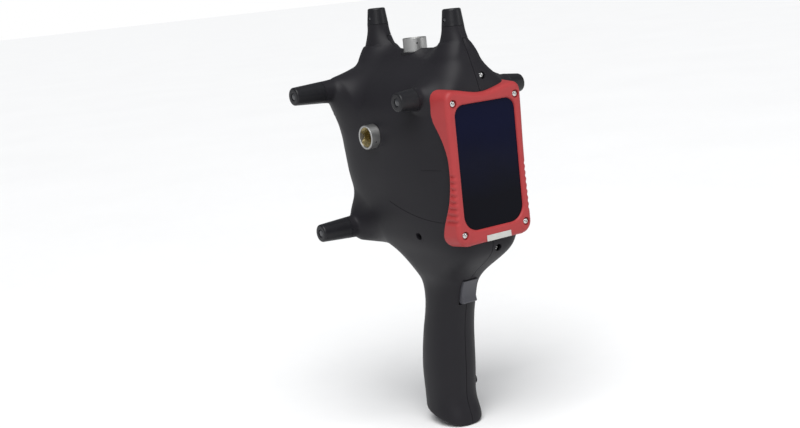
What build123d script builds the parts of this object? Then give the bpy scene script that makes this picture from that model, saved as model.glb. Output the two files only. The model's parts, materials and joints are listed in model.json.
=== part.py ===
"""Hand-held laser scanner: hollow two-piece housing with a pistol grip, a bumper-framed window,
eight marker posts, three tracker reflectors and the optics, boards and trigger inside.

Millimetres. The origin is the centre of the cable socket's mouth on the foot face under the grip.
+Z runs up through the head, -Y is the scanning side, X = 0 is the plane where the halves meet.
"""

import os
from math import cos, radians, sin

from build123d import *

os.makedirs("parts", exist_ok=True)

# ------------------------------------------------------------ driving dimensions
wall = 2.6  # housing wall
fit_gap = 0.1  # clearance round a piece that seats in another
free_gap = 0.5  # clearance round a piece that hangs free of its neighbours

foot_tilt = 16.0  # degrees, rear edge of the foot face up
foot_floor_t = 3.0
grip_half = 23.0  # half width of the grip at its fullest
head_half = 55.5  # half width of the head at its fullest
head_front_y = -87.8
head_rear_y = 82.0
head_full_y = 12.0  # where the head is widest
flare_front_y = -82.0
flare_rear_y = 79.5
crown_z = 351.5  # top of the head between the two upright posts

front_flat_y = -87.0  # flat seat behind the bumper
window_z = 249.0
window_w = 67.5
window_h = 112.0
window_top_r = 10.0
window_low_r = 15.0
glass_t = 2.8
glass_lap = 1.2  # glass hidden under the bumper's lip
gasket_t = 1.2
gasket_w = 2.2
opening_margin = 3.0  # housing opening inside the visible glass

bumper_face_y = -93.2
bumper_half = 41.2
bumper_low_z = 180.0
bumper_mid_top_z = 313.3
bumper_ear_top_z = 318.5
bumper_flare = 5.5  # degrees the sides open towards the rear
bumper_back_y = -64.0
rib_count = 8
rib_pitch = 5.8
rib_low_z = 203.0
rib_depth = 0.7
rib_w = 2.2
label_w = 28.0
label_h = 5.6
label_x = 2.5
label_t = 0.5

m3_r = 1.5
m3_head_r = 2.85
m3_head_h = 1.65
m3_recess_r = 3.4
m3_recess_h = 1.8
m3_hex_r = 1.0
bumper_screw_dx = 70.2
bumper_screw_dz = 116.4
bumper_screw_len = 14.0
bumper_boss_r = 4.2
bumper_boss_len = 13.0

side_screw_len = 18.0
side_seat_x = 8.0  # head seat from the parting plane
side_recess_r = 3.5
side_tube_r = 5.4
side_post_r = 4.4
side_screw_spots = (  # Y, Z and the side the driver comes from
    (-38.5, 187.0, -1),
    (60.0, 250.0, 1),
    (30.0, 326.0, 1),
    (-12.0, 30.0, 1),
    (-16.0, 92.0, 1),
)
front_screw_len = 22.0
front_seat_y = -80.0
front_screw_high = (8.0, 327.0)
front_screw_low = (7.0, 171.0)
front_post_r = 3.8

cap_base_r = 10.2
cap_tip_r = 8.5
cap_edge_r = 1.8
cap_bore_r = 6.3
cap_tip_wall = 2.2
spigot_r = 7.9
spigot_len = 3.0
neck_bore_r = 5.5
cap_short = 15.5
cap_side_short = 17.7
cap_long = 30.0
lens_r = 3.6
lens_t = 2.0
pipe_r = 2.2
pipe_height = 6.2  # light pipe above the seam of an upright post's cap
led_board_t = 1.0
led_r = 1.4
led_h = 0.5
led_depth = 3.0  # air between the end lens and its board
grub_r = 0.6
grub_height = 1.6
grub_len = 2.0

top_front_y = -57.2
top_front_z = 372.1
top_rear_y = 61.2
top_rear_z = 377.8
side_front_y = -58.2
side_front_z = 312.75
side_front_x = 52.6
high_rear_y = 60.7
high_rear_z = 320.9
high_rear_x = 73.5
low_rear_y = 54.7
low_rear_z = 189.8
low_rear_x = 64.5

ring_r = 11.1
ring_bore_r = 9.3
ring_len = 18.0
ring_proud = 12.0  # how far a ring stands out of the head
prism_r = 9.2
ring_floor = 3.0
top_ring_y = 3.2
side_ring_y = 5.0
side_ring_z = 279.0
side_ring_x = 65.0

trigger_half = 8.0
trigger_gap = 0.6
trigger_low_z = 114.9
trigger_high_z = 137.4
trigger_pin_y = -38.0
trigger_pin_z = 132.5
trigger_pin_r = 1.5
trigger_pin_half = 13.5
pin_running = 0.05
trigger_boss_r = 3.6

switch_half = 3.2
switch_front_y = -29.0
switch_back_y = -19.0
switch_low_z = 110.5
switch_high_z = 121.0
plunger_z = 117.0
plunger_tip_y = -32.4
plunger_half_x = 1.5
plunger_half_z = 1.0
plunger_len = 6.0
plunger_travel = 2.2
spring_r = 2.1
spring_wire_r = 0.3
spring_z = 124.5
spring_front_y = -35.4
spring_turns = 4

socket_bore_r = 6.5
socket_wall = 2.2
socket_depth = 9.0
socket_step_r = 6.3  # narrower bore behind the plug's room
plug_room = 6.0
insert_t = 3.0
socket_boss_r = 11.2
socket_boss_h = 9.0
insert_pin_r = 0.6
insert_pin_len = 3.0
insert_pin_count = 6
insert_ring_r = 3.6

bench_y = -62.0
bench_t = 5.0
bench_half = 36.0
bench_low_z = 192.0
bench_high_z = 306.0
laser_y = -75.0
laser_z = 285.0
laser_r = 7.0
laser_len = 20.0
laser_from_x = 11.0
motor_r = 8.0
motor_len = 18.0
mirror_w = 14.0
mirror_h = 12.0
mirror_t = 1.6
shaft_r = 1.5
camera_z = 222.0
camera_lens_r = 11.0
camera_lens_front_y = -80.0
camera_box = 36.0
camera_depth = 26.0
camera_wall = 2.0
board_y = 0.0
board_t = 1.6
board_half = 40.0
board_low_z = 206.0
board_high_z = 306.0
spreader_t = 4.0
bracket_t = 2.5
bracket_half = 6.5
bracket_low_z = 54.0
bracket_rest_z = (62.0, 100.0)
bracket_rest_h = 6.0
bracket_y = 2.0
mount_half = 6.0
mount_high_z = 127.0
cable_r = 2.5
cable_x = 10.2
cable_y = 3.0
rail_gap = 2.0
rail_h = 8.0
rail_z = (236.0, 301.0)


# ------------------------------------------------------------ the housing's outer form
class Station:
    """One level cross-section of the housing."""

    def __init__(self, z, front, rear, half, full=0.0, square=2.3, back=2.3, narrow=0.0):
        self.z, self.front, self.rear, self.half = z, front, rear, half
        self.full, self.square, self.back, self.narrow = full, square, back, narrow


foot = [
    Station(-16.0, -29.4, 26.4, grip_half - 0.2, full=-1.0),
    Station(-4.0, -30.4, 26.8, grip_half + 0.4, full=-1.0),
    Station(3.0, -29.2, 27.0, grip_half + 0.3, full=-1.0),
    Station(10.0, -25.4, 26.8, grip_half - 0.6, full=0.0),
]
grip = [
    Station(20.0, -24.2, 27.0, grip_half - 0.8, full=1.4),
    Station(46.0, -28.4, 27.2, grip_half, full=-0.6),
    Station(66.0, -30.0, 24.0, grip_half - 0.3, full=-3.0),
    Station(86.0, -32.0, 19.4, grip_half - 0.9, full=-6.3),
    Station(102.0, -35.2, 14.4, grip_half - 1.5, full=-10.4),
    Station(116.0, -39.8, 12.0, grip_half - 1.6, full=-14.0),
    Station(130.0, -43.8, 13.5, grip_half - 1.5, full=-16.0, square=2.4),
    Station(137.5, -47.5, 14.5, grip_half + 1.2, full=-17.0, square=2.5),
]
neck = [
    Station(145.0, -56.5, 17.0, 30.0, full=-18.0, square=2.8, back=2.3, narrow=0.06),
    Station(156.0, -71.0, 23.5, 35.0, full=-14.0, square=3.6, back=2.3, narrow=0.10),
    Station(168.0, -82.0, 36.0, head_half - 15.5, full=-8.0, square=5.0, back=2.5, narrow=0.15),
]
head = [
    Station(182.0, head_front_y + 1.3, 66.0, head_half - 7.0, 0.0, 7.0, 2.9, 0.24),
    Station(204.0, head_front_y, head_rear_y - 6.0, head_half - 2.5, 8.0, 8.0, 3.0, 0.25),
    Station(240.0, head_front_y, head_rear_y - 1.0, head_half, head_full_y, 8.0, 3.3, 0.25),
    Station(280.0, head_front_y, head_rear_y, head_half, head_full_y, 8.0, 3.8, 0.25),
    Station(304.0, head_front_y, head_rear_y - 0.5, head_half - 1.5, head_full_y, 8.0, 3.7, 0.23),
    Station(318.0, head_front_y + 1.5, head_rear_y - 1.5, head_half - 5.5, 10.0, 6.0, 3.1, 0.20),
]
crown = [
    Station(330.0, head_front_y + 6.5, head_rear_y - 3.0, 41.0, 6.0, 4.0, 2.7, 0.12),
    Station(340.0, head_front_y + 12.0, head_rear_y - 5.0, 29.0, 3.0, 3.0, 2.5, 0.06),
    Station(347.0, head_front_y + 15.5, head_rear_y - 7.5, 20.0, 2.0, 2.6, 2.4, 0.0),
    Station(crown_z, head_front_y + 18.5, head_rear_y - 10.0, 12.0, 2.0, 2.4, 2.4, 0.0),
]
stations = foot + grip + neck + head + crown
corner_steps = 7  # points on each quarter of a cross-section


def outline(station, inset):
    """Closed cross-section outline, drawn in from the outer skin by inset."""
    points = []
    half = station.half - inset
    front = station.full - station.front - inset
    rear = station.rear - station.full - inset
    for step in range(4 * corner_steps):
        turn = radians(-90.0 + 90.0 * step / corner_steps)
        across, along = cos(turn), sin(turn)
        reach, power = (front, station.square) if along < 0 else (rear, station.back)
        x = abs(across) ** (2.0 / power) * (1.0 if across > 0 else -1.0)
        y = abs(along) ** (2.0 / power) * (1.0 if along > 0 else -1.0)
        if abs(across) < 1e-9:
            x = 0.0
        if along < 0:
            x *= 1.0 - station.narrow * y * y
        points.append((half * x, station.full + reach * y))
    return points


def body(inset, drop):
    """Solid form of grip and head; inset thins it all round, drop lowers its top."""
    with BuildPart() as form:
        for station in stations:
            level = station.z - (drop if station in crown else 0.0)
            with BuildSketch(Plane.XY.offset(level)):
                with BuildLine():
                    Spline(*outline(station, inset), periodic=True)
                make_face()
        loft()
    return form.part


# ------------------------------------------------------------ shared placing helpers
foot_up = Vector(0, -sin(radians(foot_tilt)), cos(radians(foot_tilt)))
foot_plane = Plane(origin=(0, 0, 0), x_dir=(1, 0, 0), z_dir=foot_up)
CENTRE_ROD = (Align.CENTER, Align.CENTER, Align.MIN)


def facing(place, out):
    """Plane at a place whose normal runs along out, turned the same way for every piece."""
    side = (0, 1, 0) if abs(out[1]) < 0.5 else (1, 0, 0)
    return Plane(origin=place, x_dir=side, z_dir=out)


def turning(place, out):
    """Sketch plane through the axis along out: sketch X is the radius, sketch Y runs outwards."""
    side = facing(place, out).x_dir
    return Plane(origin=place, x_dir=side, z_dir=side.cross(Vector(*out)))


def rod(place, out, radius, length):
    """Plain round bar from a place along out."""
    with BuildPart(facing(place, out)) as bar:
        Cylinder(radius, length, align=CENTRE_ROD)
    return bar.part


def block(low, high):
    """Plain box between two corners."""
    size = [top - bottom for top, bottom in zip(high, low)]
    middle = [(top + bottom) / 2 for top, bottom in zip(high, low)]
    with BuildPart(Plane(origin=tuple(middle))) as box:
        Box(*size)
    return box.part


# Every marker post: cap seam centre, way out, cap length, length and spread of its flare.
posts = {
    "top_front": ((0, top_front_y, top_front_z), (0, 0, 1), cap_short, 41.0, 14.0),
    "top_rear": ((0, top_rear_y, top_rear_z), (0, 0, 1), cap_short, 41.0, 16.0),
}
for side, way in (("left", -1), ("right", 1)):
    posts[side + "_front"] = (
        (way * side_front_x, side_front_y, side_front_z), (way, 0, 0), cap_side_short, 14.0, 3.0)
    posts[side + "_high_rear"] = (
        (way * high_rear_x, high_rear_y, high_rear_z), (way, 0, 0), cap_long, 50.0, 15.0)
    posts[side + "_low_rear"] = (
        (way * low_rear_x, low_rear_y, low_rear_z), (way, 0, 0), cap_long, 44.0, 5.0)

# Every reflector: centre of its outer rim and the way it looks.
reflectors = {
    "top": ((0, top_ring_y, crown_z + ring_proud), (0, 0, 1)),
    "left": ((-side_ring_x, side_ring_y, side_ring_z), (-1, 0, 0)),
    "right": ((side_ring_x, side_ring_y, side_ring_z), (1, 0, 0)),
}
bumper_screw_spots = [
    (way * bumper_screw_dx / 2, window_z + up * bumper_screw_dz / 2) for way in (-1, 1) for up in (-1, 1)
]
front_screw_spots = (front_screw_high, front_screw_low)


def flare(place, out, root, spread, grow=0.0):
    """Trumpet that carries a marker cap, straight at the cap and flared into the head."""
    top = cap_base_r + grow
    with BuildPart() as trumpet:
        with BuildSketch(turning(place, out)):
            with BuildLine():
                Polyline((top + spread, -root), (0, -root), (0, 0), (top, 0))
                Bezier((top, 0), (top + 0.4, -root * 0.45), (top + spread * 0.3, -root * 0.75),
                       (top + spread, -root))
            make_face()
        revolve(axis=Axis(place, out))
    return trumpet.part


def grub_way(out):
    """Way a cap's grub screw points: upwards on a side post, to the rear on an upright one."""
    return (0, 0, 1) if abs(out[0]) > 0.5 else (0, 1, 0)


def along(place, out, distance):
    """Point at a distance from a place along out."""
    return tuple(start + distance * step for start, step in zip(place, out))


def window_slab(near_y, far_y, grow):
    """Slab with the window's outline, grown all round, between two depths."""
    with BuildPart() as slab:
        with BuildSketch(Plane(origin=(0, near_y, window_z), x_dir=(1, 0, 0), z_dir=(0, -1, 0))) as face:
            Rectangle(window_w + 2 * grow, window_h + 2 * grow)
            fillet(face.vertices().sort_by(Axis.Y)[-2:], window_top_r + grow)
            fillet(face.vertices().filter_by(lambda spot: spot.Y < 0), window_low_r + grow)
        extrude(amount=-(far_y - near_y))
    return slab.part


# ------------------------------------------------------------ housing halves
flat_low_z = bumper_low_z - 3.0
flat_high_z = bumper_ear_top_z + 1.0
socket_r = socket_bore_r + socket_wall
spreader_half = board_half + rail_gap + 2.0
slot_half = trigger_half + trigger_gap

with BuildPart() as post_forms:
    for place, out, cap_len, root, spread in posts.values():
        add(flare(place, out, root, spread))
    # the flares end level with the front and rear of the head
    add(block((-90, flare_front_y, 100), (90, flare_rear_y, 400)), mode=Mode.INTERSECT)
    for place, out, cap_len, root, spread in posts.values():
        add(rod(place, out, spigot_r, spigot_len))

with BuildPart() as outer_form:
    add(body(0.0, 0.0))
    split(bisect_by=foot_plane, keep=Keep.TOP)
    add(block((-70, -120, flat_low_z), (70, front_flat_y, flat_high_z)), mode=Mode.SUBTRACT)
    add(post_forms.part)

# bosses, tubes, collars and rails left standing on the inside of the wall
with BuildPart() as inner_bosses:
    for x, z in bumper_screw_spots:
        add(rod((x, front_flat_y, z), (0, 1, 0), bumper_boss_r, bumper_boss_len))
    for y, z, way in side_screw_spots:
        add(rod((0, y, z), (way, 0, 0), side_tube_r, 70))
        add(rod((0, y, z), (-way, 0, 0), side_post_r, 70))
    for x, z in front_screw_spots:
        add(rod((x, -100, z), (0, 1, 0), front_post_r, 100 + bench_y))
    for place, out in reflectors.values():
        add(rod(along(place, out, -ring_len - 1.0), out, ring_r + wall, ring_len))
    for way in (-1, 1):
        add(rod((way * slot_half, trigger_pin_y, trigger_pin_z), (way, 0, 0), trigger_boss_r, 20))
        inner = way * (board_half + rail_gap)
        for z in rail_z:
            add(block(
                (min(inner, way * 60), board_y - 2, z - rail_h / 2),
                (max(inner, way * 60), board_y + board_t + spreader_t + 2, z + rail_h / 2)))
    for z in bracket_rest_z:
        add(block((-3, bracket_y + bracket_t, z), (3, 45, z + bracket_rest_h)))
    add(rod((0, 0, 0), tuple(foot_up), socket_boss_r, socket_boss_h))
    add(block((-70, -120, flat_low_z - wall), (70, front_flat_y + wall, flat_high_z + wall)))

with BuildPart() as cavity:
    add(body(wall, wall))
    split(bisect_by=foot_plane.offset(foot_floor_t), keep=Keep.TOP)
    add(inner_bosses.part, mode=Mode.SUBTRACT)

# every bore, recess and opening through the wall
with BuildPart() as openings:
    for place, out, cap_len, root, spread in posts.values():
        back = tuple(-step for step in out)
        add(rod(along(place, out, spigot_len), back, neck_bore_r, root + spigot_len + 6.0))
        add(rod(along(place, out, grub_height), grub_way(out), grub_r + 0.05, cap_base_r))
    add(window_slab(front_flat_y - 5, front_flat_y + wall + 5, -opening_margin))
    for x, z in bumper_screw_spots:
        add(rod((x, front_flat_y - 1, z), (0, 1, 0), m3_r + 0.05, bumper_boss_len))
    for y, z, way in side_screw_spots:
        add(rod((way * side_seat_x, y, z), (way, 0, 0), side_recess_r, 70))
        bottom = way * (side_seat_x - side_screw_len)
        add(rod((bottom, y, z), (way, 0, 0), m3_r + 0.05, side_screw_len + 1))
    for x, z in front_screw_spots:
        add(rod((x, front_seat_y, z), (0, -1, 0), m3_recess_r, 20))
        add(rod((x, front_seat_y - 1, z), (0, 1, 0), m3_r + 0.05, front_screw_len))
    for place, out in reflectors.values():
        add(rod(along(place, out, -ring_len), out, ring_r + fit_gap, ring_len + 5))
    add(block((-slot_half, -70, trigger_low_z - 1.4), (slot_half, switch_front_y, trigger_high_z + trigger_gap)))
    pin_start = (-trigger_pin_half, trigger_pin_y, trigger_pin_z)
    add(rod(pin_start, (1, 0, 0), trigger_pin_r + 0.02, 2 * trigger_pin_half))
    for way in (-1, 1):
        inner = way * (board_half + rail_gap)
        edge = way * (spreader_half + fit_gap)
        for z in rail_z:
            add(block(
                (min(inner, edge), board_y + board_t - fit_gap, z - rail_h),
                (max(inner, edge), board_y + board_t + spreader_t + fit_gap, z + rail_h)))
    add(rod(along((0, 0, 0), tuple(foot_up), -5), tuple(foot_up), socket_r + fit_gap, 25))

with BuildPart() as hollow:
    add(cavity.part)
    add(openings.part)

with BuildPart() as housing:
    add(outer_form.part)
    add(hollow.part, mode=Mode.SUBTRACT)

# The necks of the two upright posts belong wholly to the left half.
with BuildPart() as neck_blocks:
    add(block((0, top_front_y - 20, top_front_z - 11), (25, top_front_y + 20, top_front_z + 20)))
    add(block((0, top_rear_y - 20, top_rear_z - 11), (25, top_rear_y + 20, top_rear_z + 20)))

with BuildPart() as right_region:
    add(block((0, -130, -40), (130, 130, 420)))
    add(neck_blocks.part, mode=Mode.SUBTRACT)

with BuildPart() as right_shell:
    add(housing.part)
    add(right_region.part, mode=Mode.INTERSECT)
right_shell.part.label = "right_shell"
export_step(right_shell.part, "parts/right_shell.step")

with BuildPart() as left_shell:
    add(housing.part)
    add(right_region.part, mode=Mode.SUBTRACT)
left_shell.part.label = "left_shell"
export_step(left_shell.part, "parts/left_shell.step")

# ------------------------------------------------------------ scan window, gasket, bumper and its label
glass_front_y = front_flat_y - gasket_t - glass_t
with BuildPart() as scan_window:
    add(window_slab(glass_front_y, front_flat_y - gasket_t, glass_lap))
    chamfer(scan_window.faces().sort_by(Axis.Y)[0].edges(), 0.3)
scan_window.part.label = "scan_window"
export_step(scan_window.part, "parts/scan_window.step")

with BuildPart() as window_gasket:
    add(window_slab(front_flat_y - gasket_t, front_flat_y, glass_lap))
    add(window_slab(front_flat_y - gasket_t - 1, front_flat_y + 1, glass_lap - gasket_w), mode=Mode.SUBTRACT)
window_gasket.part.label = "window_gasket"
export_step(window_gasket.part, "parts/window_gasket.step")


def bumper_outline(depth_y, grow):
    """Right half of the bumper's outline at one depth, grown outwards by grow."""
    low = bumper_low_z - grow
    edge = bumper_half + grow
    ear_x = bumper_half - 7.0
    ear_top = bumper_ear_top_z + grow
    mid_top = bumper_mid_top_z + grow
    with BuildSketch(Plane(origin=(0, depth_y, 0), x_dir=(1, 0, 0), z_dir=(0, -1, 0))) as half:
        with BuildLine():
            Line((0, mid_top), (0, low))
            Line((0, low), (edge - 9.0, low))
            ThreePointArc((edge - 9.0, low), (edge - 9.0 + 6.2, low + 2.6), (edge, low + 9.0))
            Spline((edge, low + 9.0), (edge - 0.4, 214.0), (edge, 262.0), (edge + 0.3, ear_top - 8.0),
                   tangents=((0, 1), (0, 1)))
            ThreePointArc((edge + 0.3, ear_top - 8.0), (edge - 1.8, ear_top - 2.2), (ear_x, ear_top))
            Spline((ear_x, ear_top), (ear_x - 12.0, mid_top + 2.6), (0, mid_top), tangents=((-1, 0.05), (-1, 0)))
        make_face()
    return half.sketch


bumper_side_rear = [  # Y and Z of the rear edge of the bumper's side wings
    (-70.0, 330.0),
    (-64.5, 316.0),
    (-66.5, 308.5),
    (-74.5, 292.0),
    (-82.5, 275.0),
    (-87.2, 260.0),
    (-87.6, 246.0),
    (-86.2, 232.0),
    (-83.2, 217.0),
    (-75.5, 200.0),
    (-73.0, 192.0),
    (-74.5, 172.0),
]
with BuildPart() as bumper_back:
    with BuildSketch(Plane.YZ.offset(-60)):
        with BuildLine():
            Spline(*bumper_side_rear)
            Polyline(bumper_side_rear[-1], (-20, 172), (-20, 330), bumper_side_rear[0])
        make_face()
    extrude(amount=120)

flare_grow = (bumper_back_y - bumper_face_y) * sin(radians(bumper_flare))
with BuildPart() as bumper_half_form:
    add(bumper_outline(bumper_face_y, 0.0))
    add(bumper_outline(bumper_back_y, flare_grow))
    loft()
with BuildPart() as bumper_form:
    add(bumper_half_form.part)
    mirror(about=Plane.YZ)

with BuildPart() as bumper_room:
    add(body(-fit_gap, -fit_gap))
    add(block((-70, -120, 120), (70, front_flat_y, 345)), mode=Mode.SUBTRACT)
    for name in ("left_front", "right_front"):
        place, out, cap_len, root, spread = posts[name]
        add(flare(place, out, root, spread, fit_gap))
        add(rod(place, out, cap_base_r + free_gap, cap_len))
    add(bumper_back.part)
    add(window_slab(bumper_face_y - 1, glass_front_y + 0.01, 0.0))
    add(window_slab(glass_front_y, front_flat_y + 1, glass_lap + fit_gap))
    for x, z in bumper_screw_spots:
        add(rod((x, bumper_face_y + m3_recess_h, z), (0, -1, 0), m3_recess_r, 5))
        add(rod((x, bumper_face_y, z), (0, 1, 0), m3_r + fit_gap, 20))
    for step in range(rib_count):
        z = rib_low_z + step * rib_pitch
        for way in (-1, 1):
            near = bumper_half + 0.4 - rib_depth
            low = (min(way * near, way * 60), -95, z - rib_w / 2)
            add(block(low, (max(way * near, way * 60), -80, z + rib_w / 2)))
    low = (label_x - label_w / 2, bumper_face_y - 1, bumper_low_z + 0.9)
    high = (label_x + label_w / 2, bumper_face_y + label_t - 0.2, bumper_low_z + 0.9 + label_h)
    add(block(low, high))

with BuildPart() as front_bumper:
    add(bumper_form.part)
    add(bumper_room.part, mode=Mode.SUBTRACT)
front_bumper.part.label = "front_bumper"
export_step(front_bumper.part, "parts/front_bumper.step")

with BuildPart() as label_plate:
    margin = 0.05
    low = (label_x - label_w / 2 + margin, bumper_face_y - 0.2, bumper_low_z + 0.9 + margin)
    high = (label_x + label_w / 2 - margin, bumper_face_y + label_t - 0.2, bumper_low_z + 0.9 + label_h - margin)
    add(block(low, high))
label_plate.part.label = "label_plate"
export_step(label_plate.part, "parts/label_plate.step")


def button_screw(seat, out, length):
    """M3 button-head screw: head seated at a point, head side along out, hex socket in it."""
    with BuildPart(facing(seat, out)) as screw:
        Cylinder(m3_head_r, m3_head_h, align=CENTRE_ROD)
        fillet(screw.edges().filter_by(GeomType.CIRCLE).sort_by(lambda edge: edge.distance_to(seat))[-1:], 1.0)
        with BuildSketch(facing(along(seat, out, m3_head_h), out)):
            RegularPolygon(m3_hex_r, 6)
        extrude(amount=-1.0, mode=Mode.SUBTRACT)
    with BuildPart() as whole:
        add(screw.part)
        add(rod(seat, tuple(-step for step in out), m3_r, length))
    return whole.part


with BuildPart() as bumper_screws:
    for x, z in bumper_screw_spots:
        add(button_screw((x, bumper_face_y + m3_recess_h, z), (0, -1, 0), bumper_screw_len))
bumper_screws.part.label = "bumper_screws"
export_step(bumper_screws.part, "parts/bumper_screws.step")

with BuildPart() as front_housing_screws:
    for x, z in front_screw_spots:
        add(button_screw((x, front_seat_y, z), (0, -1, 0), front_screw_len))
front_housing_screws.part.label = "front_housing_screws"
export_step(front_housing_screws.part, "parts/front_housing_screws.step")

with BuildPart() as side_housing_screws:
    for y, z, way in side_screw_spots:
        add(button_screw((way * side_seat_x, y, z), (way, 0, 0), side_screw_len - 0.5))
side_housing_screws.part.label = "side_housing_screws"
export_step(side_housing_screws.part, "parts/side_housing_screws.step")

# ------------------------------------------------------------ marker posts: cap, lens and light board
for name, (place, out, cap_len, root, spread) in posts.items():
    upright = out[2] > 0.5
    with BuildPart() as cap:
        with BuildSketch(turning(place, out)):
            with BuildLine():
                Line((cap_bore_r, cap_len - cap_tip_wall), (cap_bore_r, spigot_len))
                Line((cap_bore_r, spigot_len), (spigot_r + 0.05, spigot_len))
                Line((spigot_r + 0.05, spigot_len), (spigot_r + 0.05, 0))
                Line((spigot_r + 0.05, 0), (cap_base_r, 0))
                Line((cap_base_r, 0), (cap_tip_r, cap_len - cap_edge_r))
                ThreePointArc(
                    (cap_tip_r, cap_len - cap_edge_r),
                    (cap_tip_r - 0.3 * cap_edge_r, cap_len - 0.3 * cap_edge_r),
                    (cap_tip_r - cap_edge_r, cap_len))
                Line((cap_tip_r - cap_edge_r, cap_len), (0, cap_len))
                Line((0, cap_len), (0, cap_len - cap_tip_wall))
                Line((0, cap_len - cap_tip_wall), (cap_bore_r, cap_len - cap_tip_wall))
            make_face()
        revolve(axis=Axis(place, out))
        if upright:
            middle = along(place, out, pipe_height)
            add(rod(along(middle, (1, 0, 0), -20), (1, 0, 0), pipe_r + 0.05, 40), mode=Mode.SUBTRACT)
        else:
            add(rod(along(place, out, cap_len - cap_tip_wall - 1), out, lens_r + 0.05, 10), mode=Mode.SUBTRACT)
        add(rod(along(place, out, grub_height), grub_way(out), grub_r + 0.05, 20), mode=Mode.SUBTRACT)
    cap.part.label = name + "_marker_cap"
    export_step(cap.part, "parts/" + name + "_marker_cap.step")

    with BuildPart() as lens:
        if upright:
            reach = cap_base_r - (cap_base_r - cap_tip_r) * pipe_height / cap_len - 0.5
            middle = along(place, out, pipe_height)
            add(rod(along(middle, (1, 0, 0), -reach), (1, 0, 0), pipe_r, 2 * reach))
        else:
            add(rod(along(place, out, cap_len - 0.3 - lens_t), out, lens_r, lens_t))
            fillet(lens.edges().sort_by(Axis.X)[-1 if out[0] > 0 else 0], 0.6)
    kind = "_marker_light_pipe" if upright else "_marker_lens"
    lens.part.label = name + kind
    export_step(lens.part, "parts/" + name + kind + ".step")

    if upright:
        board_place, board_way = along(place, out, pipe_height + pipe_r + led_h + led_board_t + 0.1), (0, 0, -1)
    else:
        board_place = along(place, out, cap_len - 0.3 - lens_t - led_depth - led_board_t)
        board_way = out
    with BuildPart() as light_board:
        add(rod(board_place, board_way, cap_bore_r - 0.05, led_board_t))
        add(rod(along(board_place, board_way, led_board_t), board_way, led_r, led_h))
    light_board.part.label = name + "_light_board"
    export_step(light_board.part, "parts/" + name + "_light_board.step")

with BuildPart() as cap_grub_screws:
    for place, out, cap_len, root, spread in posts.values():
        seat = along(place, out, grub_height)
        start = along(seat, grub_way(out), cap_base_r - 0.4 - grub_len - 0.3)
        add(rod(start, grub_way(out), grub_r, grub_len))
cap_grub_screws.part.label = "cap_grub_screws"
export_step(cap_grub_screws.part, "parts/cap_grub_screws.step")

# ------------------------------------------------------------ tracker reflectors
ring_grub_depth = 5.0
ring_grub_r = 0.9


def ring_grub_ways(out):
    """Three ways round a reflector ring for its grub screws."""
    base = facing((0, 0, 0), out)
    ways = []
    for turn in (35.0, 155.0, 275.0):
        one = base.x_dir * cos(radians(turn)) + base.y_dir * sin(radians(turn))
        ways.append(tuple(one))
    return ways


for name, (place, out) in reflectors.items():
    back = along(place, out, -ring_len)
    with BuildPart() as ring:
        add(rod(back, out, ring_r, ring_len))
        chamfer(ring.faces().sort_by(lambda face: face.center().dot(Vector(*out)))[-1].edges(), 0.4)
        add(rod(along(back, out, ring_floor), out, ring_bore_r, ring_len), mode=Mode.SUBTRACT)
        for grub in ring_grub_ways(out):
            middle = along(place, out, -ring_grub_depth)
            add(rod(middle, grub, ring_grub_r + 0.02, ring_r + 2), mode=Mode.SUBTRACT)
    ring.part.label = name + "_reflector_ring"
    export_step(ring.part, "parts/" + name + "_reflector_ring.step")

    # hollow corner: three square faces that meet at a point on the axis
    apex = along(place, out, -1.2 - prism_r * 1.25)
    base = facing(apex, out)
    edges = []
    for turn in (0.0, 120.0, 240.0):
        edges.append(Vector(*out) * (1 / 3) ** 0.5
                     + (base.x_dir * cos(radians(turn)) + base.y_dir * sin(radians(turn))) * (2 / 3) ** 0.5)
    if edges[0].cross(edges[1]).dot(edges[2]) < 0:
        edges[1], edges[2] = edges[2], edges[1]
    with BuildPart(Plane(origin=apex, x_dir=edges[0], z_dir=edges[2])) as corner:
        Box(40, 40, 40, align=(Align.MIN, Align.MIN, Align.MIN))
    with BuildPart() as prism:
        add(rod(along(place, out, -ring_len + ring_floor), out, prism_r, ring_len - ring_floor - 1.2))
        add(corner.part, mode=Mode.SUBTRACT)
    prism.part.label = name + "_corner_mirror"
    export_step(prism.part, "parts/" + name + "_corner_mirror.step")

with BuildPart() as ring_grub_screws:
    for place, out in reflectors.values():
        for grub in ring_grub_ways(out):
            start = along(along(place, out, -ring_grub_depth), grub, ring_bore_r)
            add(rod(start, grub, ring_grub_r, ring_r - ring_bore_r - 0.3))
ring_grub_screws.part.label = "ring_grub_screws"
export_step(ring_grub_screws.part, "parts/ring_grub_screws.step")

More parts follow.
